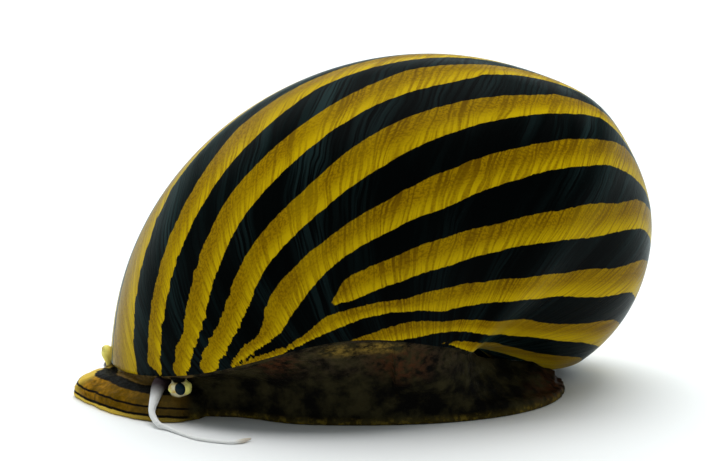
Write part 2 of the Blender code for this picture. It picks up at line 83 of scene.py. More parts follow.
# Shell margin: level in front and on the right, raised in an arch on the left
MARGIN_LEVEL = 1.35
ARCH_HEIGHT, ARCH_X, ARCH_FRONT, ARCH_REAR = 3.2, 2.0, 7.6, 7.0
ARCH_INNER_Y, ARCH_OUTER_Y = 2.0, -6.0
REAR_DROP = 0.6  # the margin comes down behind the operculum
REAR_DROP_X, REAR_DROP_Y = (9.7, 10.7), (-3.0, 0.0)

# Foot and body
# Half section of the foot as shares of its half width and height: a thin frilled edge on the
# floor, a hollow above it and a rounded flank
FOOT_SECTION = ((0.90, 0.0), (0.985, 0.0), (1.0, 0.05), (1.0, 0.13), (0.985, 0.21), (0.968, 0.32),
                (0.966, 0.5), (0.955, 0.7), (0.93, 0.86), (0.89, 0.97), (0.82, 1.0), (0.4, 1.0))
SOLE_MIDDLE_X, SOLE_REACH, SOLE_HALF_WIDTH = 1.5, 9.8, 6.7
SOLE_ROUNDNESS, SOLE_END = 2.3, 0.997  # power of its outline, and where it is cut off at both ends
WAIST_X, WAIST_WIDTH, WAIST_SHARE = -3.6, 1.6, 0.12
FOOT_HEIGHT = 1.6
FOOT_FRONT_X, FOOT_REAR_X, TAIL_START_X = -6.6, 11.3, 4.7
TAIL_HEIGHT_FRONT, TAIL_HEIGHT_REAR = 1.05, 0.38
TAIL_STEP_START, TAIL_STEP = 1.5, 2.0  # the foot's back steps down to the tail from here on, in this length
NECK_HALF_WIDTH = 4.2
BODY_SHARE = 0.93  # width of the body where it stands on the foot, as a share of the foot's
BODY_BOTTOM, BODY_UPRIGHT = 0.8, 0.35  # its start inside the foot, and its first upright stretch
BODY_FOLD = 0.3  # depth to which the parts above the foot reach into it
FLANK = ((0.12, 0.3), (0.45, 0.62), (0.85, 0.88))  # shares of the way out and up to the shell's margin
LEAST_FLARE = 0.4  # the body stands at least this far inside the margin
TUCK_IN, TUCK_UP = 0.35, 0.45  # how far it reaches in and up behind the margin
ROOF_SHARE, ROOF_RISE = 0.85, 0.7  # width and height of its top inside the shell
LEFT_TURNS, RIGHT_TURNS = (-0.6, 1.66), (1.72, 2.95)  # turns whose margin lies on that side
EDGE_INSET, GAP = 0.32, 0.02  # the flesh meets the shell this far inside its margin, and this far off it
MANTLE_EDGE = 0.20  # radius of the thick edge that lines the shell's margin
MANTLE_START, MANTLE_END = -1.15, 4.1  # turns where this edge starts and ends
UPPER_FRONT_X, UPPER_REAR_X = -8.7, 4.6
SHELL_MIDDLE_X = 1.0  # the mantle's edge lies inside the margin, towards this place
FOLD_DEPTH, FOLD_WAVES = 0.055, np.array((0.9, 0.9, 2.6))  # the skin's folds, and how close they lie
CREASE_DEPTH, CREASE_WAVES = 0.02, np.array((4.0, 4.0, 6.0))
FLAT_BELOW, FOLDS_GROW = 0.05, 0.3  # the folds start above the sole and grow over this height
# Steps of the rough meshes from which the skin is made
MARGIN_STEPS, LEFT_STEPS, RIGHT_STEPS = 600, 220, 120
FOOT_STEPS, BODY_STEPS, LOBE_STEPS, HEAD_STEPS = 90, 70, 60, 72
MANTLE_STEPS, PAST_LIP_STEPS, MANTLE_SIDES = 170, 40, 10
FEELER_STEPS, FEELER_SIDES = 150, 18
SOFTENING, SOFTENING_ROUNDS = 0.5, 8  # how much, and how often, the skin is smoothed

# Lobe beside and behind the operculum: it leans in from the foot to the shell's margin
LOBE_FRONT_X, LOBE_REAR_X = 3.4, 10.9
LOBE_JOIN_X = (4.0, 5.4)
LOBE_INNER_Y, LOBE_HOOK_Y = -1.75, 0.95  # its inner side, and where it hooks round to
LOBE_HOOK_X = (7.4, 10.45)
LOBE_TOP, LOBE_ROUNDING = 0.3, 0.2  # least width of its top, and the rounding of the top's outer edge
LOBE_RISE, LOBE_RISE_REAR = 0.45, 0.08  # its top rises this far behind the shell's edge
LOBE_RISE_X = (6.5, 7.3)
LOBE_SLOPE, LOBE_SLOPE_X = 0.3, (8.0, 8.8)  # fall of its top to the operculum, and where that ends
LOBE_EDGE = (  # (x, y, z) just inside the shell's lower edge
    (5.2, -7.0, 3.82), (5.9, -6.3, 3.62), (6.6, -5.0, 3.1), (7.2, -3.5, 2.5), (7.8, -2.3, 2.08),
    (8.4, -1.2, 1.8), (9.2, -0.8, 1.45), (9.8, -0.5, 1.25), (10.3, 0.1, 0.98), (10.8, 0.6, 0.75),
)
LOBE_BULGE = (  # (share of its height, how far its outer side swells out there)
    (0.0, 0.0), (0.12, 0.10), (0.25, 0.18), (0.5, 0.28), (0.75, 0.20), (0.9, 0.08),
)

# Head
HEAD_CENTRE = np.array((-6.3, -1.0))
HEADING = math.radians(210)
FLAP_RADIUS = 5.2
FLAP_DIP, FLAP_DIP_TURN, FLAP_DIP_WIDTH = 0.12, math.radians(3), math.radians(30)  # flatter in the middle
HEAD_HALF_ANGLE = math.radians(66)
HEAD_HEIGHT_RIGHT, HEAD_HEIGHT_LEFT = 1.0, 1.45
HEAD_SLOPE_Y, HEAD_SLOPE = 2.0, 7.0  # its back rises to the left from here, over this width
HEAD_CORNER = 0.09  # its corners are rounded off by this share of the radius
CORNER_START, CORNER_SPAN = 0.85, 0.15  # where, in shares of the half angle
FRILLS = ((0.05, 9.0, 0.0), (0.03, 23.0, 1.0))  # waves of the head's edge: size, number in a radian, start
HEAD_BACK = (  # plan behind the free edge: (x, y, share of the skirt), from the left round to the right
    (-5.42, -5.35, 0.8), (-5.25, -4.95, 0.4), *((-4.8, y, 0.2) for y in np.linspace(-4.6, 4.7, 14)),
    (-5.6, 4.8, 0.6), (-7.1, 4.35, 1.0), (-8.0, 3.95, 1.0), (-8.7, 3.4, 1.0),
)
# Skirt of the head's free edge: how far it stands in, and its height as a share of the back's
SKIRT = ((0.30, 0.0), (0.06, 0.0), (0.0, 0.06), (0.0, 0.16), (0.05, 0.26), (0.07, 0.34), (0.05, 0.42),
         (0.12, 0.54), (0.28, 0.66), (0.45, 0.75), (0.70, 0.84), (1.05, 0.93), (1.6, 1.0), (2.6, 1.04))
LEAST_REACH = 0.6  # no ring comes nearer to the head's middle than the rest of this share

# Yellow bands of the shell: (turn, edge towards the spire, edge towards the base)
BANDS = (
    ((2.60, 1.48, 1.72), (2.10, 1.30, 1.54), (1.65, 1.10, 1.35), (1.50, 1.02, 1.23), (1.20, 0.92, 1.02),
     (0.90, 0.80, 0.89), (0.45, 0.66, 0.75), (0.0, 0.54, 0.62), (-0.6, 0.40, 0.47), (-1.4, 0.30, 0.36),
     (-2.4, 0.22, 0.27)),
    ((1.505, 1.325, 1.388), (1.46, 1.30, 1.36), (1.20, 1.17, 1.25), (0.90, 1.02, 1.124),
     (0.60, 0.904, 1.016), (0.30, 0.812, 0.928), (0.0, 0.73, 0.84), (-0.6, 0.57, 0.66),
     (-1.6, 0.40, 0.47), (-2.4, 0.32, 0.38)),
    ((1.46, 1.412, 1.455), (1.40, 1.394, 1.452), (1.30, 1.387, 1.440), (1.20, 1.345, 1.425),
     (0.90, 1.212, 1.308), (0.60, 1.12, 1.22), (0.30, 1.024, 1.116), (0.0, 0.936, 1.036),
     (-0.3, 0.82, 0.908), (-0.6, 0.73, 0.82), (-1.0, 0.62, 0.70), (-1.6, 0.51, 0.58), (-2.4, 0.41, 0.48)),
    ((1.385, 1.482, 1.520), (1.30, 1.468, 1.522), (1.20, 1.470, 1.523), (1.10, 1.450, 1.512),
     (1.0, 1.415, 1.490), (0.90, 1.388, 1.46), (0.60, 1.324, 1.412), (0.30, 1.216, 1.336),
     (0.0, 1.124, 1.236), (-0.3, 1.032, 1.12), (-0.6, 0.93, 1.004), (-1.0, 0.80, 0.89),
     (-1.6, 0.65, 0.74), (-2.4, 0.52, 0.60)),
    ((1.29, 1.552, 1.554), (1.25, 1.545, 1.565), (1.20, 1.55, 1.575), (1.15, 1.56, 1.586),
     (1.08, 1.572, 1.60), (1.05, 1.56, 1.605), (1.0, 1.535, 1.605), (0.90, 1.515, 1.592),
     (0.60, 1.484, 1.552), (0.30, 1.44, 1.524), (0.0, 1.36, 1.476), (-0.3, 1.248, 1.368),
     (-0.6, 1.108, 1.224), (-0.75, 1.028, 1.136), (-1.0, 0.92, 1.03), (-1.6, 0.76, 0.86),
     (-2.4, 0.62, 0.71)),
    ((0.72, 1.636, 1.638), (0.70, 1.632, 1.641), (0.65, 1.612, 1.652), (0.60, 1.598, 1.658),
     (0.50, 1.60, 1.66), (0.30, 1.596, 1.664), (0.0, 1.564, 1.648), (-0.3, 1.508, 1.60),
     (-0.6, 1.392, 1.508), (-0.75, 1.304, 1.452), (-0.9, 1.228, 1.384), (-1.05, 1.088, 1.26),
     (-1.2, 1.016, 1.13), (-1.6, 0.84, 0.94), (-2.4, 0.66, 0.75)),
    ((1.30, 1.562, 1.582), (1.25, 1.575, 1.598), (1.20, 1.592, 1.613), (1.10, 1.622, 1.638),
     (1.05, 1.637, 1.65), (1.0, 1.645, 1.66), (0.90, 1.653, 1.675), (0.80, 1.65, 1.69),
     (0.70, 1.665, 1.70), (0.60, 1.678, 1.71), (0.30, 1.712, 1.744), (0.0, 1.708, 1.772),
     (-0.3, 1.688, 1.756), (-0.6, 1.632, 1.712), (-0.9, 1.548, 1.664), (-1.2, 1.372, 1.544),
     (-1.35, 1.188, 1.444), (-1.5, 1.068, 1.268), (-1.9, 0.89, 1.02), (-2.4, 0.76, 0.86)),
    ((0.98, 1.70, 1.72), (0.95, 1.695, 1.728), (0.90, 1.71, 1.745), (0.80, 1.73, 1.76),
     (0.60, 1.752, 1.785), (0.30, 1.772, 1.816), (0.0, 1.80, 1.828), (-0.3, 1.80, 1.836),
     (-0.6, 1.78, 1.824), (-0.9, 1.76, 1.832), (-1.2, 1.708, 1.808), (-1.35, 1.656, 1.772),
     (-1.5, 1.552, 1.712), (-1.65, 1.352, 1.628), (-1.8, 1.24, 1.464), (-2.0, 1.08, 1.27),
     (-2.4, 0.92, 1.05)),
    ((0.0, 1.859, 1.861), (-0.2, 1.862, 1.874), (-0.3, 1.864, 1.884), (-0.6, 1.852, 1.884),
     (-1.05, 1.872, 1.916), (-1.5, 1.836, 1.98), (-1.65, 1.796, 1.98), (-1.8, 1.73, 1.94),
     (-1.87, 1.66, 1.86), (-2.0, 1.42, 1.74), (-2.1, 1.33, 1.62), (-2.4, 1.14, 1.36), (-3.1, 1.03, 1.20)),
    ((-2.12, 1.88, 1.882), (-2.2, 1.80, 1.86), (-2.4, 1.55, 1.76), (-2.7, 1.42, 1.60), (-3.1, 1.32, 1.48)),
    ((-2.5, 1.92, 1.922), (-2.7, 1.80, 1.90), (-3.1, 1.64, 1.80)),
)
# Bands between the first one and the suture: place as a share of the first band's, and the turn
# where the band starts, or None where it has no end
SPIRE_BANDS = ((0.80, 0.20), (0.62, None), (0.46, 0.45), (0.32, None), (0.20, 0.70), (0.10, None))
SPIRE_BAND_WIDTHS = (0.45, 0.85)  # widths of these bands next to the suture and next to the first band
BAND_SMOOTHING = 0.035  # radians over which the bands' bends are rounded

# Feelers: (x, y, z, radius) from the root to the tip
FEELER_LEFT = (
    (-7.10, -4.80, 1.70, 0.36), (-7.36, -5.25, 1.58, 0.34), (-7.55, -5.72, 1.12, 0.24),
    (-7.68, -6.35, 0.66, 0.16), (-7.58, -6.75, 0.40, 0.145), (-7.335, -7.20, 0.214, 0.12),
    (-6.92, -7.57, 0.13, 0.10), (-6.135, -8.69, 0.09, 0.08), (-5.49, -9.45, 0.085, 0.07),
    (-4.66, -9.90, 0.08, 0.068), (-4.01, -10.11, 0.09, 0.07), (-3.51, -9.91, 0.11, 0.10),
    (-3.14, -9.50, 0.12, 0.04),
)
FEELER_RIGHT = (
    (-9.50, 1.70, 0.95, 0.24), (-9.70, 2.10, 0.82, 0.22), (-9.86, 2.55, 0.68, 0.18),
    (-9.92, 3.05, 0.50, 0.15), (-9.80, 3.60, 0.40, 0.14), (-9.40, 4.15, 0.214, 0.12),
    (-8.95, 4.80, 0.13, 0.10), (-8.50, 5.60, 0.09, 0.08), (-8.20, 6.40, 0.085, 0.07),
    (-8.15, 7.20, 0.08, 0.068), (-8.35, 7.90, 0.09, 0.07), (-8.75, 8.40, 0.11, 0.10),
    (-9.25, 8.70, 0.12, 0.04),
)

# Eyes: centre of each stalk's swelling, its half sizes, the way the eye looks, its tilt and the
# way to its root
EYE_STALKS = {
    "left": ((-6.39, -5.70, 1.58), (0.58, 0.42, 0.38), (0.0, -1.0, 0.05), 0.22, (0.0, 0.6, -0.32)),
    "right": ((-9.84, 1.36, 1.46), (0.27, 0.40, 0.48), (0.25, 0.95, 0.05), 0.22, (0.25, 0.3, -0.5)),
}
EYE_RADIUS = 0.34
EYE_SHAPE = (0.72, 0.68, 0.86)  # sizes of the ball in shares of its radius
EYE_SINK = 0.10  # its centre lies this far inside the stalk's swelling
NECK_STEPS = (0.35, 0.7, 1.0)  # places of the balls on the way from the swelling to the root
NECK_TAPER, NECK_HEIGHT = 0.25, 0.95

# Operculum
NUCLEUS = np.array((-0.15, -0.55))  # where its arcs start, in shares of its half sizes
OPERCULUM_FIT = 0.985
OPERCULUM_WALL = 0.28
OPERCULUM_SLOPE_END = 0.5  # its slope leaves this height at the rear
DOME, RIDGE, RIDGE_WAVES = 0.20, 0.012, 60
HORN_TURNS = 3  # growth lines of the horn, as turns of the shell's pattern

# Patches of colour on the skin: (centre, half sizes)
GOLDEN_PATCHES = (((0.9, -7.4, 3.95), (1.1, 0.9, 0.45)), ((2.6, -7.5, 4.0), (1.2, 0.9, 0.35)))
RUSSET_PATCHES = (((-2.0, -7.0, 3.2), (0.9, 1.2, 0.7)), ((3.7, -7.2, 3.1), (1.2, 1.4, 0.8)),
                  ((-10.1, 1.0, 1.0), (0.6, 0.8, 0.5)), ((11.0, -0.8, 0.3), (1.6, 3.0, 0.7)))
PAINTED_HIGHLIGHTS = (((-5.96, -5.95, 1.62), (0.22, 0.6, 0.5)), ((-9.86, 1.25, 1.46), (0.27, 0.5, 0.46)),
                  ((-6.95, -5.95, 1.42), (0.14, 0.4, 0.16)))  # painted highlights: the lit sides of the eye stalks in brighter yellow
PAINTED_SHADOWS = (((-6.52, -5.85, 1.99), (0.42, 0.6, 0.16)),
         ((-7.05, -5.85, 1.88), (0.2, 0.6, 0.15)))  # painted shadow of the shell's lip on top of the left eye stalk
PALE_SPECKS = (((-3.95, -6.2, 1.75), (0.11, 0.2, 0.11)), ((-2.95, -6.35, 1.95), (0.17, 0.2, 0.14)),
               ((-7.98, -5.3, 1.55), (0.16, 0.3, 0.28)))
# Dark lines along the flap: height up its slope and half width
FLAP_LINES = ((0.28, 0.05), (0.68, 0.045), (1.45, 0.17))
FLAP_RISE, FLAP_RUN = 0.974, 0.225  # shares of height and of reach in the way up its slope
FLAP_TOP, FLAP_INNER = 1.9, 1.6  # its colour ends at this height and this near to the head's middle
MANTLE_NEAR, MANTLE_FADE = 0.4, 0.35  # the mantle's colour reaches this far from the margin, then fades
MANTLE_TURNS = (1.45, 2.9)

# Stage, in metres
FLOOR_PROFILE = ((0.3, 0.0), (0.8, 0.0), (1.1, 0.04), (1.3, 0.14), (1.42, 0.3))  # (radius, height)
FLOOR_SIDES = 96
FLOOR_SHADE = (0.80, 0.82, 0.83, 1.0)
WHITE, COOL, COOLER = (1.0, 1.0, 1.0), (0.92, 1.0, 1.0), (0.90, 1.0, 1.0)
LIGHTS = (  # name, place, aim, size, power as a share of the key power, colour
    ("top_softbox", (0.0, 0.06, 0.46), (0, 0, 0), (0.46, 0.40), 1.25, WHITE),
    ("front_fill", (-0.12, -0.45, 0.22), (0, 0, 0.005), (0.26, 0.2), 0.04, WHITE),
    ("left_fill", (-0.45, -0.02, 0.2), (0, 0, 0.005), (0.2, 0.2), 0.07, COOLER),
    ("right_fill", (0.45, 0.10, 0.2), (0, 0, 0.005), (0.2, 0.2), 0.07, COOLER),
    ("backdrop", (0.0, 0.75, 0.5), (0, 0.65, 0), (1.6, 0.7), 6.0, COOL),
)
WORLD_COLOUR, WORLD_STRENGTH = (0.80, 0.88, 0.90, 1), 0.26
SENSOR_WIDTH = 36.0


def smooth(value):
    """A smooth step from 0 to 1."""
    value = np.clip(value, 0.0, 1.0)
    return value * value * (3 - 2 * value)


def fade(value, ends):
    """A smooth step between two ends."""
    return smooth((value - ends[0]) / (ends[1] - ends[0]))


def blend(low, high, share):
    return low + (high - low) * share


def unit(vector):
    """The direction of a vector."""
    return np.asarray(vector, float) / np.linalg.norm(vector)


# Shell surface

def axis_frame():
    """Apex direction, the upward normal to it, and the forward one."""
    apex = np.array((
        math.sin(AXIS_YAW) * math.cos(AXIS_TILT),
        math.cos(AXIS_YAW) * math.cos(AXIS_TILT),
        math.sin(AXIS_TILT),
    ))
    up = unit(np.array((0.0, 0.0, 1.0)) - apex[2] * apex)
    return apex, up, np.cross(up, apex)


def spire_curve(radius):
    """Height of the spire's dome at a radius, both as shares."""
    return (1 - np.clip(radius, 0, 1) ** SPIRE_ROUNDNESS) ** (1 / SPIRE_ROUNDNESS)


def whorl_profile(station):
    """Radius and height of the whorl's section: suture at 0, widest line at 1 and pole at 2."""
    start = SPIRE_HEIGHT * (spire_curve(NEXT_SUTURE) - TURN_GROWTH * spire_curve(SUTURE_RADIUS))
    periphery = start / (TURN_GROWTH - 1)
    spire_angle = np.clip(station, 0, 1) * math.pi / 2
    base_angle = np.clip(station - 1, 0, 1) * math.pi / 2
    spire_radius = blend(SUTURE_RADIUS, 1.0, np.sin(spire_angle))
    base_radius = np.clip(np.cos(base_angle), 0, 1) ** (2 / BASE_ROUNDNESS)
    spire_level = periphery + SPIRE_HEIGHT * spire_curve(spire_radius)
    base_level = periphery - BASE_DEPTH * np.sin(base_angle) ** (2 / BASE_ROUNDNESS)
    on_spire = station < 1
    return np.where(on_spire, spire_radius, base_radius), np.where(on_spire, spire_level, base_level)


def free_whorl(turn, station):
    """The spiral's surface where nothing closes it."""
    radius, height = whorl_profile(station)
    apex, up, forward = axis_frame()
    swell = SWELL_SIZE * np.exp(-(((turn - SWELL_ANGLE) / SWELL_WIDTH) ** 2))
    size = TOP_RADIUS * np.exp(GROWTH * turn) * (1 + swell * smooth(station))
    outward = np.cos(turn)[..., None] * up + np.sin(turn)[..., None] * forward
    point = AXIS_ORIGIN + size[..., None] * (radius[..., None] * outward + height[..., None] * apex)
    point[..., 0] += SHELL_LEAN * (point[..., 2] - LEAN_HEIGHT)
    return point


def shell_surface(turn, station):
    """The shell's surface: at the end of its growth the lip closes in on the turn before."""
    point = free_whorl(turn, station)
    before = free_whorl(turn - ONE_TURN, np.maximum(station, COVERED))
    closing = fade(turn, (CLOSING_ANGLE, LIP_ANGLE))
    return blend(point, before, closing[..., None])


def margin_height(x, y):
    """Height of the shell's margin above the floor."""
    reach = np.where(x < ARCH_X, ARCH_FRONT, ARCH_REAR)
    along = np.exp(-(((x - ARCH_X) / reach) ** 2))
    across = fade(y, (ARCH_INNER_Y, ARCH_OUTER_Y))
    behind = fade(x, REAR_DROP_X) * fade(y, REAR_DROP_Y)
    return MARGIN_LEVEL - REAR_DROP * behind + ARCH_HEIGHT * along * across


def band_edges(control, turn):
    """Both edges of a band at every turn, with the bends between the control points rounded."""
    places, *columns = zip(*sorted(control))
    spread = np.linspace(-2, 2, 9)
    weights = np.exp(-0.5 * spread ** 2)
    edges = []
    for values in columns:
        total = sum(w * np.interp(turn + o, places, values) for w, o in zip(weights, spread * BAND_SMOOTHING))
        edges.append(total / weights.sum())
    return edges


def spire_bands():
    """Bands between the first one and the suture, some of which start as points near the top."""
    for share, start in SPIRE_BANDS:
        width = blend(*SPIRE_BAND_WIDTHS, share)
        points = []
        for turn, low, high in BANDS[0]:
            middle, half = (low + high) / 2 * share, (high - low) / 2 * width
            if start is not None:
                half *= min(max((turn - start) / 0.5, -0.2), 1.0)
            points.append((turn, middle - half, middle + half))
        yield points


def band_fields(turn, station, along, across):
    """Distance into the nearest band in millimetres, and the place across it from 0 to 1."""
    depth = np.full(turn.shape, -9.0)
    place = np.zeros(turn.shape)
    step = 0.01
    for control in (*spire_bands(), *BANDS):
        low, high = band_edges(control, turn)
        low_after, high_after = band_edges(control, turn + step)
        low_slope = np.hypot((low_after - low) / step / along, 1 / across)
        high_slope = np.hypot((high_after - high) / step / along, 1 / across)
        inside = np.minimum((station - low) / low_slope, (high - station) / high_slope)
        inside = np.minimum(inside, (max(control)[0] - turn) * along)
        nearer = inside > depth
        depth = np.where(nearer, inside, depth)
        place = np.where(nearer, (station - low) / np.maximum(high - low, 0.005), place)
    return np.clip(depth, -3, 3), np.clip(place, -1, 2)


def shell_grid(settings):
    """Turns and stations of the shell's mesh, one row for each step of the last turn."""
    rows = settings.rows
    last_turns = LIP_ANGLE + ONE_TURN * (np.arange(rows + 1) - rows) / rows
    covered = np.linspace(0, COVERED, settings.spire_steps + 1)
    shoulder = np.linspace(COVERED, 1, settings.shoulder_steps + 1)[1:]
    base = 1 + np.linspace(0, 1, settings.base_steps + 1)[1:] ** 0.9
    return last_turns, np.concatenate((covered, shoulder, base))


def spiral_sheet(settings):
    """The spiral as one sheet, open only below: turns, stations, faces and the loop around its tip."""
    last_turns, stations = shell_grid(settings)
    rows, covered = settings.rows, settings.spire_steps
    early = (WHORLS - 1) * rows
    early_turns = last_turns[0] - ONE_TURN * (early - np.arange(early)) / rows
    turn_early, station_early = np.meshgrid(early_turns, stations[:covered], indexing="ij")
    turn_last, station_last = np.meshgrid(last_turns[:-1], stations, indexing="ij")
    index_early = np.arange(turn_early.size).reshape(turn_early.shape)
    index_last = turn_early.size + np.arange(turn_last.size).reshape(turn_last.shape)
    # The outer edge of an early turn is the suture of the turn after it
    early_full = np.concatenate((index_early, np.zeros((early, 1), int)), axis=1)
    first_column = np.concatenate((index_early[:, 0], index_last[:, 0]))
    early_full[:, covered] = first_column[rows:rows + early]
    wide = np.full((early, len(stations) - covered - 1), -1)
    grid = np.concatenate((np.concatenate((early_full, wide), axis=1), index_last))
    # The last row is the row one turn before it, which the lip has reached
    closing_row = grid[early].copy()
    closing_row[:covered] = grid[early][covered]
    grid = np.concatenate((grid, closing_row[None]))
    a, b, c, d = grid[:-1, :-1], grid[:-1, 1:], grid[1:, 1:], grid[1:, :-1]
    quads = np.stack((a, b, c, d), axis=-1).reshape(-1, 4)
    quads = quads[(quads >= 0).all(axis=1)]  # early turns have no part beyond the suture
    turn = np.concatenate((turn_early.ravel(), turn_last.ravel()))
    station = np.concatenate((station_early.ravel(), station_last.ravel()))
    tip_loop = np.concatenate((index_early[:rows + 1, 0], index_early[0, :0:-1]))
    tip = np.full(len(tip_loop), turn.size)
    cap = np.stack((np.roll(tip_loop, -1), tip_loop, tip, tip), axis=-1)
    return np.append(turn, early_turns[0]), np.append(station, 0.0), np.concatenate((quads, cap)), tip_loop


def surface_scales(turn, station):
    """Millimetres for each radian of turn and for each unit of station."""
    step = 1e-3
    below = np.minimum(station, 1.985)
    here = free_whorl(turn, below)
    along = np.linalg.norm(free_whorl(turn + step, below) - here, axis=-1) / step
    across = np.linalg.norm(free_whorl(turn, below + step) - here, axis=-1) / step
    return along, np.maximum(across, 0.5)


def mesh_from_arrays(name, points, faces):
    """A mesh in metres from points in millimetres and tuples of corners, without repeated corners."""
    clean = []
    for face in faces.tolist():
        corners = list(dict.fromkeys(face))
        if len(corners) > 2:
            clean.append(corners)
    mesh = bpy.data.meshes.new(name)
    mesh.from_pydata((points * MM).tolist(), [], clean)
    mesh.update()
    return mesh


def add_values(mesh, name, values):
    """Store one value for each point of a mesh."""
    layer = mesh.attributes.new(name, "FLOAT", "POINT")
    layer.data.foreach_set("value", np.asarray(values, np.float32))


def tidy_faces(built):
    """Split the faces of more than four corners, and turn all faces outwards."""
    bmesh.ops.triangulate(built, faces=[face for face in built.faces if len(face.verts) > 4])
    bmesh.ops.recalc_face_normals(built, faces=built.faces)


def finished_mesh(built, name):
    """The mesh that a bmesh has become."""
    mesh = bpy.data.meshes.new(name)
    built.to_mesh(mesh)
    built.free()
    return mesh


def trim_below(mesh, layer_name):
    """Cut away all of a mesh where a value stored on its points is below zero."""
    built = bmesh.new()
    built.from_mesh(mesh)
    layer = built.verts.layers.float[layer_name]
    crossing = [edge for edge in built.edges if (edge.verts[0][layer] < 0) != (edge.verts[1][layer] < 0)]
    for edge in crossing:
        start, end = edge.verts
        share = start[layer] / (start[layer] - end[layer])
        made = bmesh.utils.edge_split(edge, start, min(max(share, 0.001), 0.999))[1]
        made[layer] = 0.0
        made.tag = True
    for face in list(built.faces):
        fresh = [vert for vert in face.verts if vert.tag]
        if len(fresh) == 2 and len(face.verts) > 3:
            try:
                bmesh.utils.face_split(face, fresh[0], fresh[1])
            except ValueError:
                continue
    lost = [vert for vert in built.verts if vert[layer] < 0]
    bmesh.ops.delete(built, geom=lost, context="VERTS")
    tidy_faces(built)
    built.to_mesh(mesh)
    built.free()


def link_object(name, mesh, materials):
    """A smooth-shaded object in the scene."""
    thing = bpy.data.objects.new(name, mesh)
    bpy.context.scene.collection.objects.link(thing)
    for finish in materials:
        mesh.materials.append(finish)
    mesh.shade_smooth()
    return thing


def apply_modifiers(thing):
    """Replace an object's mesh by what its modifiers make of it."""
    graph = bpy.context.evaluated_depsgraph_get()
    graph.update()
    evaluated = thing.evaluated_get(graph)
    made = bpy.data.meshes.new_from_object(evaluated, preserve_all_data_layers=True, depsgraph=graph)
    thing.modifiers.clear()
    old = thing.data
    thing.data = made
    bpy.data.meshes.remove(old)
    made.name = thing.name


def add_shell(settings):
    """The banded whorls with their wall, cut along the margin."""
    turn, station, quads, tip_loop = spiral_sheet(settings)
    points = shell_surface(turn, station)
    points[-1] = points[tip_loop].mean(axis=0)
    along, across = surface_scales(turn, station)
    depth, place = band_fields(turn, station, along, across)
    mesh = mesh_from_arrays("shell_whorls", points, quads)
    add_values(mesh, "turn", turn)
    add_values(mesh, "station", station)
    add_values(mesh, "band", depth)
    add_values(mesh, "across", place)
    add_values(mesh, "above", points[:, 2] - margin_height(points[:, 0], points[:, 1]))
    trim_below(mesh, "above")
    shell = link_object("shell_whorls", mesh, [shell_material(settings)])
    wall = shell.modifiers.new("wall", "SOLIDIFY")
    wall.thickness = settings.wall
    wall.offset = -1.0
    apply_modifiers(shell)
    return shell


# Shader helpers

def add_node(tree, kind, settings=None, **inputs):
    """A node with its settings, and its sockets joined to others or given values."""
    made = tree.nodes.new(kind)
    for name, value in (settings or {}).items():
        setattr(made, name, value)
    for name, value in inputs.items():
        join(tree, value, made.inputs[name.replace("_", " ")])
    return made


def join(tree, value, socket):
    """Link a socket to another one, or give it a value."""
    if isinstance(value, bpy.types.NodeSocket):
        tree.links.new(value, socket)
    elif value is not None:
        socket.default_value = value


def maths(tree, operation, first, second=None):
    made = tree.nodes.new("ShaderNodeMath")
    made.operation = operation
    join(tree, first, made.inputs[0])
    join(tree, second, made.inputs[1])
    return made.outputs[0]


def times(tree, first, second):
    return maths(tree, "MULTIPLY", first, second)


def plus(tree, first, second):
    return maths(tree, "ADD", first, second)


def minus(tree, first, second):
    return maths(tree, "SUBTRACT", first, second)


def ramp(tree, value, low, high, start=0.0, end=1.0):
    """A smooth rise from start to end as the value goes from low to high."""
    made = tree.nodes.new("ShaderNodeMapRange")
    made.interpolation_type = "SMOOTHSTEP"
    for socket, given in zip(made.inputs, (value, low, high, start, end)):
        join(tree, given, socket)
    return made.outputs[0]


def mix(tree, share, first, second):
    """The first colour where the share is 0 and the second where it is 1."""
    made = tree.nodes.new("ShaderNodeMix")
    made.data_type = "RGBA"
    for socket, given in ((made.inputs[0], share), (made.inputs[6], first), (made.inputs[7], second)):
        join(tree, given, socket)
    return made.outputs[2]


def stored(tree, name):
    """A value stored on the mesh's points."""
    made = tree.nodes.new("ShaderNodeAttribute")
    made.attribute_name = name
    return made.outputs["Fac"]


def joined(tree, x, y, z=0.0):
    """A vector from its three parts."""
    return add_node(tree, "ShaderNodeCombineXYZ", X=x, Y=y, Z=z).outputs[0]


def grain(tree, vector, scale, detail=2.0, rough=0.5):
    """Soft noise from 0 to 1."""
    made = add_node(tree, "ShaderNodeTexNoise", Vector=vector, Scale=scale, Detail=detail, Roughness=rough)
    return made.outputs["Fac"]


def new_group(name, inputs, outputs):
    """A node group with named number sockets, and its two end nodes."""
    group = bpy.data.node_groups.new(name, "ShaderNodeTree")
    for label, default in inputs.items():
        socket = group.interface.new_socket(name=label, in_out="INPUT", socket_type="NodeSocketFloat")
        socket.default_value = default
    for label in outputs:
        group.interface.new_socket(name=label, in_out="OUTPUT", socket_type="NodeSocketFloat")
    entry = group.nodes.new("NodeGroupInput")
    leave = group.nodes.new("NodeGroupOutput")
    return group, entry, leave


# Pattern of the lines of growth
SLANT_TURNS, SLANTS = (-0.9, 0.9), (-4.0, -40.0)  # the lines lean over more and more along the coil
WAVER, WAVER_SCALE = 6.0, 5.0
BROAD_PACE, TEETH_PACE, DOTS_PACE = 0.1, 0.35, 1.2  # how close they lie, beside the fine lines
FINE_STRETCH, TEETH_STRETCH, DOTS_STRETCH = 4.0, 9.0, 150.0  # and how soon they change across the coil


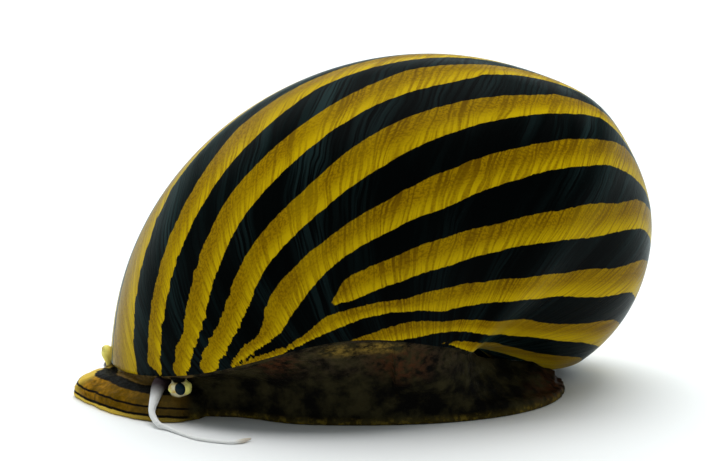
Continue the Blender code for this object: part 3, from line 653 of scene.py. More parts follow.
def growth_lines_group():
    """Lines of growth: fine and broad ones, the teeth that they give to a colour's edge, and fine dots."""
    name = "Growth Lines"
    if name in bpy.data.node_groups:
        return bpy.data.node_groups[name]
    inputs = {"Turn": 0.0, "Station": 0.0, "Lines": 50.0}
    group, entry, leave = new_group(name, inputs, ("Fine", "Broad", "Teeth", "Stipple"))
    turn, station = entry.outputs["Turn"], entry.outputs["Station"]
    waver = grain(group, joined(group, turn, station), WAVER_SCALE)
    slant = times(group, station, ramp(group, turn, *SLANT_TURNS, *SLANTS))
    line = times(group, turn, entry.outputs["Lines"])
    line = plus(group, line, plus(group, slant, times(group, waver, WAVER)))
    fine = joined(group, line, times(group, station, FINE_STRETCH))
    broad = joined(group, times(group, line, BROAD_PACE), station, 7.0)
    teeth = joined(group, times(group, line, TEETH_PACE), times(group, station, TEETH_STRETCH), 3.0)
    dots = joined(group, times(group, line, DOTS_PACE), times(group, station, DOTS_STRETCH), 5.0)
    for label, place, detail, rough in (("Fine", fine, 1.0, 0.5), ("Broad", broad, 1.0, 0.5),
                                        ("Teeth", teeth, 3.0, 0.65), ("Stipple", dots, 1.0, 0.5)):
        group.links.new(grain(group, place, 1.0, detail, rough), leave.inputs[label])
    return group


def moist_grain_group():
    """Grain of wet skin or horn: blotches for its colour and a height for its relief."""
    name = "Moist Grain"
    if name in bpy.data.node_groups:
        return bpy.data.node_groups[name]
    group, entry, leave = new_group(name, {"Size": 1.0}, ("Blotches", "Speckles", "Height"))
    place = add_node(group, "ShaderNodeTexCoord").outputs["Object"]
    frequency = maths(group, "DIVIDE", 1.0, entry.outputs["Size"])
    blotches = grain(group, place, frequency, 4.0, 0.6)
    speckles = grain(group, place, times(group, frequency, 5.0), 2.0, 0.6)
    cells = add_node(group, "ShaderNodeTexVoronoi", {"feature": "SMOOTH_F1"}, Vector=place,
                     Scale=times(group, frequency, 4.0))
    height = plus(group, times(group, cells.outputs["Distance"], 0.7), speckles)
    for label, value in (("Blotches", blotches), ("Speckles", speckles), ("Height", height)):
        group.links.new(value, leave.inputs[label])
    return group


def place_group(tree, group, **inputs):
    """A shared effect in a material, with this material's own values."""
    made = tree.nodes.new("ShaderNodeGroup")
    made.node_tree = group
    for name, value in inputs.items():
        join(tree, value, made.inputs[name])
    return made


def new_material(name):
    """A material, its node tree and its shader."""
    made = bpy.data.materials.new(name)
    made.use_nodes = True
    return made, made.node_tree, made.node_tree.nodes["Principled BSDF"]


def relief(tree, height, distance, after=None):
    """A normal raised by a height, on top of another one."""
    made = add_node(tree, "ShaderNodeBump", Height=height, Distance=distance)
    join(tree, after, made.inputs["Normal"])
    return made.outputs["Normal"]


# Places along the coil, in radians, where the shell's looks change
TEETH_TURNS = (0.85, 1.3)  # the bands' teeth get longer towards the lip
BORDER_TURNS = (1.75, 2.0)  # the lip's black border starts
HATCH_TURNS = (1.1, 0.5)  # the hatching gets weaker towards the lip
WORN_TURNS = (-9.5, -8.0)
BAND_BLUR = 0.022  # millimetres over which black turns to gold
FINE_RELIEF, BROAD_RELIEF = 0.000006, 0.00003


def shell_material(settings):
    """Golden bands with toothed edges on black, crossed by lines of growth, with a painted sheen on the black
    and a painted glow low in each band.
    """
    finish, tree, shader = new_material("banded_shell")
    turn, station, across = stored(tree, "turn"), stored(tree, "station"), stored(tree, "across")
    lines = place_group(tree, growth_lines_group(), Turn=turn, Station=station,
                        Lines=settings.growth_lines)

    tooth = times(tree, minus(tree, lines.outputs["Teeth"], 0.5), settings.tooth_size / MM)
    tooth = times(tree, tooth, ramp(tree, turn, *TEETH_TURNS, 0.6, 2.2))
    edge = plus(tree, stored(tree, "band"), tooth)
    lip = plus(tree, minus(tree, stored(tree, "above"), settings.lip_border / MM), tooth)
    lip = plus(tree, lip, ramp(tree, turn, *BORDER_TURNS, 4.0, 0.0))
    golden = ramp(tree, maths(tree, "MINIMUM", edge, lip), -BAND_BLUR, BAND_BLUR)

    fine = ramp(tree, lines.outputs["Fine"], 0.36, 0.60)
    broad = ramp(tree, lines.outputs["Broad"], 0.35, 0.75)
    hatch = times(tree, minus(tree, 1.0, fine), ramp(tree, across, 0.0, 0.9, 0.95, 0.2))
    hatch = times(tree, hatch, ramp(tree, turn, *HATCH_TURNS, 0.35, 1.0))
    stipple = times(tree, ramp(tree, lines.outputs["Stipple"], 0.44, 0.62), 0.6)
    # painted glow: each band is lightened towards its edge nearer the base, standing in for light shining
    # through the shell
    lower = times(tree, ramp(tree, across, 0.35, 0.95), plus(tree, fine, 0.25))
    gold = mix(tree, hatch, settings.gold, settings.gold_dark)
    gold = mix(tree, stipple, gold, settings.gold_dark)
    gold = mix(tree, times(tree, lower, 0.8), gold, settings.gold_bright_and_painted_glow)
    gold = mix(tree, times(tree, broad, 0.22), gold, settings.gold_bright_and_painted_glow)
    # painted sheen: teal streaks of reflected light on the black ground, stronger towards the spire
    sheen = times(tree, times(tree, fine, broad), ramp(tree, station, 1.5, 0.9, 0.3, 1.0))
    dark = mix(tree, sheen, settings.black, settings.black_painted_sheen)
    colour = mix(tree, golden, dark, gold)
    colour = mix(tree, ramp(tree, turn, *WORN_TURNS, 0.85, 0.0), colour, settings.worn_apex)
    join(tree, colour, shader.inputs["Base Color"])

    rough, polished = settings.roughness + 0.08, settings.roughness - 0.04
    join(tree, ramp(tree, lines.outputs["Fine"], 0.2, 0.8, rough, polished), shader.inputs["Roughness"])
    shader.inputs["IOR"].default_value = 1.06
    shader.inputs["Sheen Weight"].default_value = 0.08
    shader.inputs["Sheen Roughness"].default_value = 0.3
    shader.inputs["Sheen Tint"].default_value = settings.rim_light
    normal = relief(tree, lines.outputs["Fine"], FINE_RELIEF)
    normal = relief(tree, lines.outputs["Broad"], BROAD_RELIEF, normal)
    join(tree, normal, shader.inputs["Normal"])
    return finish


# Soft body

def sole_half_width(x):
    """Half the width of the foot on the floor."""
    along = np.minimum(abs(x - SOLE_MIDDLE_X) / SOLE_REACH, SOLE_END)
    waist = 1 - WAIST_SHARE * math.exp(-(((x - WAIST_X) / WAIST_WIDTH) ** 2))
    return SOLE_HALF_WIDTH * waist * math.sqrt(1 - along ** SOLE_ROUNDNESS)


def foot_height(x):
    """Height of the foot's back."""
    share = min(max((x - TAIL_START_X) / (FOOT_REAR_X - TAIL_START_X), 0.0), 1.0)
    tail = blend(TAIL_HEIGHT_FRONT, TAIL_HEIGHT_REAR, share)
    return blend(FOOT_HEIGHT, tail, float(smooth((x - TAIL_START_X + TAIL_STEP_START) / TAIL_STEP)))


def spaced(start, end, count):
    """Places along the body, closer together towards both ends."""
    return [blend(start, end, 0.5 - 0.5 * math.cos(math.pi * i / count)) for i in range(count + 1)]


def foot_ring(x):
    """Section of the foot."""
    width, height = sole_half_width(x), foot_height(x)
    half = [(x, width * across, height * up) for across, up in FOOT_SECTION]
    return half + [(x, -y, z) for x, y, z in reversed(half)]


def margin_line(turns):
    """Where the shell's surface reaches its margin, one point for each turn."""
    turn, station = np.meshgrid(turns, np.linspace(0.0, 2.0, MARGIN_STEPS), indexing="ij")
    points = shell_surface(turn, station)
    above = points[..., 2] - margin_height(points[..., 0], points[..., 1])
    after = np.argmax(above < 0, axis=1)
    row = np.arange(len(turns))
    high, low = above[row, after - 1], above[row, after]
    share = (high / (high - low))[:, None]
    return blend(points[row, after - 1], points[row, after], share)


def side_margins():
    """The shell's margin on the left and on the right of the body, each from front to rear."""
    sides = (np.linspace(*LEFT_TURNS, LEFT_STEPS), np.linspace(*RIGHT_TURNS, RIGHT_STEPS))
    lines = [margin_line(turns) for turns in sides]
    return [line[np.argsort(line[:, 0])] for line in lines]


def edge_at(line, x):
    """The margin's place across the body and its height."""
    return float(np.interp(x, line[:, 0], line[:, 1])), float(np.interp(x, line[:, 0], line[:, 2]))


def upper_ring(x, left, right):
    """Section of the body from the foot or the head up into the shell."""
    width = BODY_SHARE * max(sole_half_width(max(x, FOOT_FRONT_X)), NECK_HALF_WIDTH)
    start = BODY_BOTTOM + BODY_UPRIGHT
    walls, edges = [], []
    for side, line in ((1, right), (-1, left)):
        edge, level = edge_at(line, x)
        edge -= side * EDGE_INSET
        foot = side * min(width, abs(edge) - LEAST_FLARE)
        wall = [(foot - side * BODY_FOLD, BODY_BOTTOM), (foot, start)]
        wall += [(blend(foot, edge, out), blend(start, level, up)) for out, up in FLANK]
        wall += [(edge, level - GAP), (edge - side * TUCK_IN, level + TUCK_UP)]
        walls.append([(x, y, z) for y, z in wall])
        edges.append(edge)
    reach = np.linspace(edges[0] * ROOF_SHARE, edges[1] * ROOF_SHARE, 9)
    roof = [(x, float(y), float(margin_height(x, y)) + ROOF_RISE) for y in reach]
    return walls[0] + roof + walls[1][::-1]


def lobe_margin(x):
    """Where the lobe meets the shell's lower edge, as (y, z)."""
    places_x, places_y, places_z = zip(*LOBE_EDGE)
    return float(np.interp(x, places_x, places_y)), float(np.interp(x, places_x, places_z))


def lobe_ring(x, left):
    """Section of the flank on the left and of the lobe that follows it behind the operculum."""
    outer = -BODY_SHARE * sole_half_width(x)
    bottom = foot_height(x) - BODY_FOLD
    on_lobe = float(fade(x, LOBE_JOIN_X))
    flank_edge, flank_level = edge_at(left, x)
    edge, level = lobe_margin(x)
    edge = blend(flank_edge + EDGE_INSET, edge, on_lobe)
    level = blend(flank_level, level, on_lobe)
    inner = blend(LOBE_INNER_Y, LOBE_HOOK_Y, float(fade(x, LOBE_HOOK_X)))
    edge = min(edge, inner - LOBE_TOP)
    wall = [(blend(outer, edge, share) - bulge, blend(bottom, level, share)) for share, bulge in LOBE_BULGE]
    lowered = float(fade(x, LOBE_RISE_X))
    sloped = lowered * (1 - float(fade(x, LOBE_SLOPE_X)))
    top = level + blend(LOBE_RISE, LOBE_RISE_REAR, lowered)
    wall += [(edge, level), (edge + LOBE_ROUNDING, blend(level, top, 0.8))]
    for share in (0.5, 1.0):
        wall.append((blend(edge, inner, share), top - sloped * LOBE_SLOPE * share * (inner - edge)))
    wall.append((inner, bottom))
    return [(x, y, z) for y, z in wall]


def mantle_edge_rings(line):
    """A soft tube just inside the shell's margin."""
    inward = np.stack((SHELL_MIDDLE_X - line[:, 0], -line[:, 1]), axis=1)
    inward /= np.linalg.norm(inward, axis=1)[:, None]
    path = line.copy()
    path[:, :2] += inward * (EDGE_INSET + GAP)
    path[:, 2] += GAP
    return tube_rings(np.column_stack((path, np.full(len(path), MANTLE_EDGE))), MANTLE_SIDES)


def flap_radius(turn):
    """Reach of the head's edge from its middle."""
    return FLAP_RADIUS * (1 - FLAP_DIP * np.exp(-(((turn - FLAP_DIP_TURN) / FLAP_DIP_WIDTH) ** 2)))


def head_height(place):
    """Height of the head's back."""
    share = float(smooth((HEAD_SLOPE_Y - place[1]) / HEAD_SLOPE))
    return blend(HEAD_HEIGHT_RIGHT, HEAD_HEIGHT_LEFT, share)


def polar(radius, turn):
    """A place around the head's middle, turned from the way it faces."""
    angle = HEADING + turn
    return HEAD_CENTRE + radius * np.array((math.cos(angle), math.sin(angle)))


def head_outline():
    """Plan of the head, with the share of the skirt that each place carries."""
    outline = []
    for turn in np.linspace(-HEAD_HALF_ANGLE, HEAD_HALF_ANGLE, HEAD_STEPS):
        corner_share = (abs(turn) - CORNER_START * HEAD_HALF_ANGLE) / (CORNER_SPAN * HEAD_HALF_ANGLE)
        corner = HEAD_CORNER * float(smooth(corner_share))
        frill = sum(size * math.sin(turn * waves + start) for size, waves, start in FRILLS)
        outline.append((polar(flap_radius(turn) * (1 - corner) + frill, turn), 1.0))
    return outline + [(np.array((x, y)), share) for x, y, share in HEAD_BACK]


def head_rings():
    """The head as rings from its sole up its skirt to the middle of its back."""
    outline = head_outline()
    rings = []
    for inset, share in SKIRT:
        ring = []
        for place, free in outline:
            inward = HEAD_CENTRE - place
            reach = np.linalg.norm(inward)
            moved = place + inward / reach * min(inset * free, reach * LEAST_REACH)
            ring.append((moved[0], moved[1], head_height(place) * share))
        rings.append(ring)
    return rings


def loft(built, rings):
    """Add a closed body through rings that all have the same number of points."""
    rows = [[built.verts.new(point) for point in ring] for ring in rings]
    count = len(rows[0])
    for here, ahead in zip(rows, rows[1:]):
        for i in range(count):
            j = (i + 1) % count
            built.faces.new((here[i], here[j], ahead[j], ahead[i]))
    built.faces.new(rows[0])
    built.faces.new(rows[-1])


def add_swelling(built, centre, size, tilt):
    """Add an ellipsoid, turned in the side view by a tilt."""
    matrix = Matrix.Translation(centre) @ Matrix.Rotation(-tilt, 4, "Y") @ Matrix.Diagonal((*size, 1.0))
    bmesh.ops.create_uvsphere(built, u_segments=40, v_segments=24, radius=1.0, matrix=matrix)


def stalk_parts():
    """Balls that make each eye stalk: its swelling and the neck that joins it to the head."""
    for centre, size, _, tilt, neck in EYE_STALKS.values():
        centre = np.array(centre)
        yield centre, size, tilt
        for share in NECK_STEPS:
            taper = (size[0] * (1 - NECK_TAPER * share), size[1], size[2] * NECK_HEIGHT)
            yield centre + np.array(neck) * share, taper, 0.0


def feeler_path(points, steps):
    """A smooth curve through a feeler's points, with its radius."""
    control = np.array(points)
    lengths = np.concatenate(([0], np.cumsum(np.linalg.norm(np.diff(control[:, :3], axis=0), axis=1))))
    where = np.linspace(0, lengths[-1], steps)
    padded = np.vstack((2 * control[0] - control[1], control, 2 * control[-1] - control[-2]))
    path = []
    for value in where:
        i = min(int(np.searchsorted(lengths, value, side="right")) - 1, len(control) - 2)
        t = (value - lengths[i]) / (lengths[i + 1] - lengths[i])
        p0, p1, p2, p3 = padded[i:i + 4]
        path.append(0.5 * (2 * p1 + (p2 - p0) * t + (2 * p0 - 5 * p1 + 4 * p2 - p3) * t ** 2
                           + (3 * p1 - p0 - 3 * p2 + p3) * t ** 3))
    return np.array(path)


def tube_rings(path, sides):
    """Rings around a path of (x, y, z, radius)."""
    tangents = np.gradient(path[:, :3], axis=0)
    rings = []
    for place, tangent in zip(path, tangents):
        forward = unit(tangent)
        side = unit(np.cross(forward, (0, 0, 1.0)))
        upward = np.cross(side, forward)
        ring = []
        for k in range(sides):
            angle = ONE_TURN * k / sides
            offset = math.cos(angle) * side + math.sin(angle) * upward
            ring.append(tuple(place[:3] + place[3] * offset))
        rings.append(ring)
    return rings


def remeshed(built, voxel):
    """One smooth skin around all the closed bodies of a bmesh."""
    tidy_faces(built)
    rough = bpy.data.objects.new("rough_body", finished_mesh(built, "rough_body"))
    bpy.context.scene.collection.objects.link(rough)
    fuse = rough.modifiers.new("fuse", "REMESH")
    fuse.mode = "VOXEL"
    fuse.voxel_size = voxel
    soften = rough.modifiers.new("soften", "SMOOTH")
    soften.factor = SOFTENING
    soften.iterations = SOFTENING_ROUNDS
    apply_modifiers(rough)
    made = rough.data
    bpy.data.objects.remove(rough)
    return made


def read_points(mesh):
    """Points and normals of a mesh."""
    points = np.empty(len(mesh.vertices) * 3, np.float32)
    mesh.vertices.foreach_get("co", points)
    normals = np.empty(len(mesh.vertices) * 3, np.float32)
    mesh.vertex_normals.foreach_get("vector", normals)
    return points.reshape(-1, 3).astype(float), normals.reshape(-1, 3).astype(float)


def wrinkle_depth(point):
    """Height of the skin's folds in millimetres, drawn out along the body."""
    folds = noise.fractal(tuple(point * FOLD_WAVES), 1.0, 2.0, 4)
    return FOLD_DEPTH * folds + CREASE_DEPTH * noise.noise(tuple(point * CREASE_WAVES))


def folded(points, normals, amount):
    """Move the skin by its folds, but leave the sole flat and the floor clear."""
    depth = np.array([wrinkle_depth(point) for point in points]) * amount
    lift = smooth((points[:, 2] - FLAT_BELOW) / FOLDS_GROW)
    moved = points + normals * (depth * lift)[:, None]
    moved[:, 2] = np.maximum(moved[:, 2], 0.0)
    return moved


def head_fields(points):
    """Share of the flap, and the distance in from its rim along the skin, in millimetres."""
    offset = points[:, :2] - HEAD_CENTRE
    reach = np.linalg.norm(offset, axis=1)
    turn = (np.arctan2(offset[:, 1], offset[:, 0]) - HEADING + math.pi) % ONE_TURN - math.pi
    flap = smooth((HEAD_HALF_ANGLE + 0.02 - abs(turn)) / 0.10) * smooth((reach - FLAP_INNER) / 0.8)
    flap *= smooth((FLAP_TOP - points[:, 2]) / 0.2)
    inward = FLAP_RISE * points[:, 2] + FLAP_RUN * np.maximum(flap_radius(turn) - reach, 0)
    return flap, inward, turn / HEAD_HALF_ANGLE


def ball_field(points, centres, sizes):
    """Largest nearness to any of some ellipsoids: 1 at a centre, 0 from twice its size on."""
    best = np.zeros(len(points))
    for centre, size in zip(centres, sizes):
        away = np.linalg.norm((points - np.array(centre)) / np.array(size), axis=1)
        best = np.maximum(best, 1 - away / 2)
    return best


def mantle_field(points):
    """Nearness to the thick edge of the mantle: 1 on it, 0 away from it."""
    near = np.full(len(points), 9.0)
    for place in margin_line(np.linspace(*MANTLE_TURNS, 100)):
        near = np.minimum(near, np.linalg.norm(points - place, axis=1))
    return 1 - smooth((near - MANTLE_NEAR) / MANTLE_FADE)


def add_body_values(mesh, points):
    """Store where the skin's colours lie."""
    for name, values in zip(("flap", "inward", "around"), head_fields(points)):
        add_values(mesh, name, values)
    stalks = [stalk[:2] for stalk in EYE_STALKS.values()]
    for name, patches in (("stalk", stalks), ("golden", GOLDEN_PATCHES), ("russet", RUSSET_PATCHES),
                          ("speck", PALE_SPECKS), ("sunlit", PAINTED_HIGHLIGHTS), ("hood", PAINTED_SHADOWS)):
        add_values(mesh, name, ball_field(points, *zip(*patches)))
    add_values(mesh, "height", points[:, 2])
    add_values(mesh, "mantle", mantle_field(points))


def feeler_mesh(points):
    """One feeler as a tube, with its length from root to tip stored as 0 to 1."""
    rings = tube_rings(feeler_path(points, FEELER_STEPS), FEELER_SIDES)
    built = bmesh.new()
    loft(built, rings)
    tidy_faces(built)
    mesh = finished_mesh(built, "feeler")
    add_values(mesh, "feeler", np.repeat(np.linspace(0.001, 1, len(rings)), len(rings[0])))
    return mesh


def add_body(settings):
    """One skin around foot, flank, lobe, head and eye stalks, with the feelers joined to it."""
    built = bmesh.new()
    loft(built, [foot_ring(x) for x in spaced(FOOT_FRONT_X, FOOT_REAR_X, FOOT_STEPS)])
    left, right = side_margins()
    loft(built, [upper_ring(x, left, right) for x in spaced(UPPER_FRONT_X, UPPER_REAR_X, BODY_STEPS)])
    loft(built, [lobe_ring(x, left) for x in spaced(LOBE_FRONT_X, LOBE_REAR_X, LOBE_STEPS)])
    past_lip = np.linspace(LIP_ANGLE + 0.1, MANTLE_END, PAST_LIP_STEPS) - ONE_TURN
    around = np.concatenate((np.linspace(MANTLE_START, LIP_ANGLE, MANTLE_STEPS), past_lip))
    loft(built, mantle_edge_rings(margin_line(around)))
    loft(built, head_rings())
    for centre, size, tilt in stalk_parts():
        add_swelling(built, centre, size, tilt)
    mesh = remeshed(built, settings.voxel / MM)
    points, normals = read_points(mesh)
    points = folded(points, normals, settings.wrinkles)
    mesh.vertices.foreach_set("co", (points * MM).ravel())
    add_body_values(mesh, points)
    add_values(mesh, "feeler", np.zeros(len(points)))
    body = link_object("body_skin", mesh, [flesh_material(settings)])
    feelers = []
    for path in (FEELER_LEFT, FEELER_RIGHT):
        tube = feeler_mesh(path)
        tube_points, _ = read_points(tube)
        tube.vertices.foreach_set("co", (tube_points * MM).ravel())
        add_body_values(tube, tube_points)
        feelers.append(link_object("feeler", tube, [body.data.materials[0]]))
    with bpy.context.temp_override(active_object=body, selected_editable_objects=[body, *feelers]):
        bpy.ops.object.join()
    return body


# Grain of the skin, in metres, and the heights above the floor in millimetres where it changes
COARSE_GRAIN, FINE_GRAIN = 0.0011, 0.00035
COARSE_RELIEF, SKIN_RELIEF = 0.00004, 0.000025
BROWN_HEIGHTS, RIM_HEIGHTS = (1.7, 3.2), (0.42, 0.12)
# Places along a feeler, from 0 at its root to 1 at its tip
FEELER_JOIN, FEELER_PALES, FEELER_BROWNS = (0.0, 0.02), (0.07, 0.19), (0.88, 0.95)


def foot_colour(tree, settings, blotches, mottle):
    """Dark mottled flesh with brown, russet and golden places and a yellowish edge on the floor."""
    height = stored(tree, "height")
    colour = mix(tree, blotches, settings.flesh_dark, settings.flesh_olive)
    rim = times(tree, ramp(tree, height, *RIM_HEIGHTS), ramp(tree, mottle, 0.2, 0.9, 0.15, 0.8))
    for share, tone in (
        (times(tree, ramp(tree, height, *BROWN_HEIGHTS, 0.0, 0.55), mottle), settings.flesh_brown),
        (times(tree, ramp(tree, stored(tree, "russet"), 0.1, 0.9), mottle), settings.russet),
        (times(tree, ramp(tree, stored(tree, "golden"), 0.25, 0.8), mottle), settings.golden_patch),
        (rim, settings.sole_rim),
    ):
        colour = mix(tree, share, colour, tone)
    return colour


def flap_colour(tree, settings, blotches, mottle):
    """Orange with a pale rim and dark lines along it, and where those lines lie."""
    waver = times(tree, minus(tree, blotches, 0.5), 0.18)
    inward = plus(tree, stored(tree, "inward"), waver)
    around = stored(tree, "around")
    pale_rim = times(tree, ramp(tree, inward, 0.24, 0.19), ramp(tree, around, 0.75, 0.1, 0.25, 1.0))
    pale_rim = maths(tree, "MAXIMUM", pale_rim, ramp(tree, around, -0.26, -0.48, 0.0, 0.8))
    line = None
    for middle, half in FLAP_LINES:
        away = maths(tree, "ABSOLUTE", minus(tree, inward, middle))
        band = ramp(tree, away, half + 0.03, half - 0.02)
        line = band if line is None else maths(tree, "MAXIMUM", line, band)
    colour = mix(tree, mottle, settings.flap_brown, settings.flap_orange)
    for share, tone in (
        (ramp(tree, around, -0.35, 0.25, 0.0, 0.7), settings.flap_brown),
        (ramp(tree, around, 0.3, 0.75, 0.0, 0.6), settings.flesh_olive),
        (pale_rim, settings.flap_rim),
        (line, settings.flesh_dark),
        (ramp(tree, around, 0.86, 1.02, 0.0, 0.7), settings.flesh_dark),
    ):
        colour = mix(tree, share, colour, tone)
    return colour, line


def flesh_material(settings):
    """Dark mottled flesh, a banded orange flap, pale eye stalks with painted highlights and a painted shadow,
    and feelers that fade to white.
    """
    finish, tree, shader = new_material("moist_flesh")
    coarse = place_group(tree, moist_grain_group(), Size=COARSE_GRAIN)
    fine = place_group(tree, moist_grain_group(), Size=FINE_GRAIN)
    mottle = ramp(tree, fine.outputs["Blotches"], 0.35, 0.72)
    colour = foot_colour(tree, settings, ramp(tree, coarse.outputs["Blotches"], 0.38, 0.68), mottle)
    flap = stored(tree, "flap")
    orange, line = flap_colour(tree, settings, coarse.outputs["Blotches"], mottle)
    colour = mix(tree, flap, colour, orange)

    edge = times(tree, ramp(tree, stored(tree, "mantle"), 0.25, 0.7), ramp(tree, mottle, 0.0, 0.8, 0.5, 1.0))
    edge = times(tree, edge, minus(tree, 1.0, times(tree, line, flap)))
    pale = mix(tree, mottle, settings.stalk_pale, settings.stalk_yellow)
    # painted highlight: brighter yellow on the lit sides of the eye stalks, over their own pale and yellow
    # skin
    pale = mix(tree, ramp(tree, stored(tree, "sunlit"), 0.3, 0.6), pale, settings.painted_stalk_highlight)
    feeler = stored(tree, "feeler")
    tube = mix(tree, ramp(tree, feeler, *FEELER_PALES), settings.feeler_root, settings.feeler_white)
    tube = mix(tree, ramp(tree, feeler, *FEELER_BROWNS, 0.0, 0.7), tube, settings.feeler_tip)
    for share, tone in (
        (edge, settings.mantle_brown),
        (ramp(tree, stored(tree, "speck"), 0.35, 0.6), settings.stalk_pale),
        (ramp(tree, stored(tree, "stalk"), 0.36, 0.50), pale),
        # painted shadow of the shell's lip on top of the left eye stalk
        (ramp(tree, stored(tree, "hood"), 0.45, 0.6), settings.flesh_dark),
        (ramp(tree, feeler, *FEELER_JOIN), tube),
    ):
        colour = mix(tree, share, colour, tone)
    join(tree, colour, shader.inputs["Base Color"])

    roughness = ramp(tree, fine.outputs["Speckles"], 0.3, 0.7, settings.gloss, settings.gloss + 0.18)
    join(tree, roughness, shader.inputs["Roughness"])
    shader.inputs["IOR"].default_value = 1.045
    normal = relief(tree, coarse.outputs["Height"], COARSE_RELIEF)
    join(tree, relief(tree, fine.outputs["Height"], SKIN_RELIEF, normal), shader.inputs["Normal"])
    return finish


# Eyes and operculum

def eye_material(settings):
    """Glossy black with a blue tinge."""
    finish, _, shader = new_material("eye_black")
    shader.inputs["Base Color"].default_value = settings.eye_black
    shader.inputs["Roughness"].default_value = 0.10
    shader.inputs["IOR"].default_value = 1.20
    return finish


def add_eye(side, settings):
    """A glossy ball sunk into the end of its stalk."""
    centre, size, direction, tilt, _ = EYE_STALKS[side]
    place = np.array(centre) + unit(direction) * (size[1] - EYE_SINK)
    built = bmesh.new()
    bmesh.ops.create_uvsphere(built, u_segments=48, v_segments=32, radius=EYE_RADIUS)
    matrix = Matrix.Translation(place) @ Matrix.Rotation(-tilt, 4, "Y") @ Matrix.Diagonal((*EYE_SHAPE, 1.0))
    bmesh.ops.transform(built, matrix=matrix, verts=built.verts)
    bmesh.ops.scale(built, vec=(MM, MM, MM), verts=built.verts)
    name = f"eye_ball_{side}"
    return link_object(name, finished_mesh(built, name), [eye_material(settings)])


def horn_material(settings):
    """Red-brown horn with the arcs in which it grew."""
    finish, tree, shader = new_material("horny_plate")
    turn, station = stored(tree, "turn"), stored(tree, "station")
    lines = place_group(tree, growth_lines_group(), Turn=turn, Station=station, Lines=14.0)
    moist = place_group(tree, moist_grain_group(), Size=0.0008)
    tone = mix(tree, ramp(tree, lines.outputs["Broad"], 0.35, 0.65), settings.horn_dark, settings.horn)
    tone = mix(tree, times(tree, moist.outputs["Blotches"], 0.5), tone, settings.horn_dark)
    join(tree, tone, shader.inputs["Base Color"])
    join(tree, ramp(tree, moist.outputs["Speckles"], 0.3, 0.7, 0.28, 0.45), shader.inputs["Roughness"])
    join(tree, relief(tree, lines.outputs["Fine"], 0.00003), shader.inputs["Normal"])
    return finish


def add_operculum(settings):
    """A half-moon plate, grown in arcs from a nucleus near its left edge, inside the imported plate's box."""
    low, high = (np.array(corner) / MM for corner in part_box("operculum"))
    middle, half = (low + high) / 2, (high - low) / 2
    rings, sides = 40, 96
    drop = (high[2] - low[2] - OPERCULUM_SLOPE_END) / (high[0] - low[0])
    points, turns, around = [], [], []
    for i in range(rings + 1):
        share = i / rings
        for k in range(sides):
            angle = ONE_TURN * k / sides
            rim = np.array((math.cos(angle), math.sin(angle)))
            plan = NUCLEUS + (rim - NUCLEUS) * share
            x, y = middle[:2] + plan * half[:2] * OPERCULUM_FIT
            level = high[2] - OPERCULUM_WALL - drop * (x - low[0])
            dome = DOME * (1 - share ** 3) + RIDGE * math.sin(share * RIDGE_WAVES)
            points.append((x, y, level + dome))
            turns.append(share * HORN_TURNS)
            around.append(k / sides)
    grid = np.arange((rings + 1) * sides).reshape(rings + 1, sides)
    ahead = np.roll(grid, -1, axis=1)
    quads = np.stack((grid[:-1], ahead[:-1], ahead[1:], grid[1:]), axis=-1).reshape(-1, 4)
    mesh = mesh_from_arrays("operculum_plate", np.array(points), quads)
    add_values(mesh, "turn", turns)
    add_values(mesh, "station", around)
    plate = link_object("operculum_plate", mesh, [horn_material(settings)])
    weld = plate.modifiers.new("weld", "WELD")
    weld.merge_threshold = 0.000005
    wall = plate.modifiers.new("wall", "SOLIDIFY")
    wall.thickness = OPERCULUM_WALL * MM
    wall.offset = -1.0
    apply_modifiers(plate)
    return plate


# Settings that a user would change

def steps(label, words, default):
    return IntProperty(name=label, description=words, default=default, min=4)


def length(label, words, default):
    return FloatProperty(name=label, description=words, default=default, min=0.0, precision=6, unit="LENGTH")


def number(label, words, default):
    return FloatProperty(name=label, description=words, default=default, min=0.0)


def tint(label, words, default):
    return FloatVectorProperty(name=label, description=words, default=(*default, 1.0), size=4,
                               subtype="COLOR", min=0.0, max=1.0)


class NeriteShellSettings(bpy.types.PropertyGroup):
    """Sizes and colours of the shell."""

    rows: steps("Rows", "Steps of the mesh in one turn of the coil", 640)
    spire_steps: steps("Spire steps", "Mesh steps where turns overlap", 22)
    shoulder_steps: steps("Shoulder steps", "Mesh steps on the shoulder", 58)
    base_steps: steps("Base steps", "Mesh steps below the widest line", 90)
    wall: length("Wall", "Thickness of the shell's wall", 0.00032)
    tooth_size: length("Tooth size", "How far the teeth of the bands' edges reach", 0.00030)
    lip_border: length("Lip border", "Width of the black border along the lip in front", 0.0008)
    growth_lines: number("Growth lines", "Fine lines of growth for each radian of the coil", 100.0)
    roughness: number("Roughness", "Roughness of the shell's polish", 0.27)
    gold: tint("Gold", "Middle tone of the yellow bands", (0.32, 0.185, 0.001))
    gold_dark: tint("Dark gold", "Hatching and dots in the yellow bands", (0.125, 0.062, 0.001))
    # the broad growth lines' lighter tone, and also the painted glow low in each band
    gold_bright_and_painted_glow: tint("Bright gold", "Lightest tone of the yellow bands", (0.56, 0.38, 0.002))
    black: tint("Black", "Ground colour between the bands", (0.0008, 0.0013, 0.0013))
    # painted sheen: teal streaks of reflected light on the black ground
    black_painted_sheen: tint("Black sheen", "Teal tint of the black ground", (0.014, 0.030, 0.030))
    rim_light: tint("Rim light", "Teal sheen of the shell where it curves away", (0.25, 0.75, 0.70))
    worn_apex: tint("Worn apex", "Colour of the worn tip of the spire", (0.42, 0.33, 0.16))


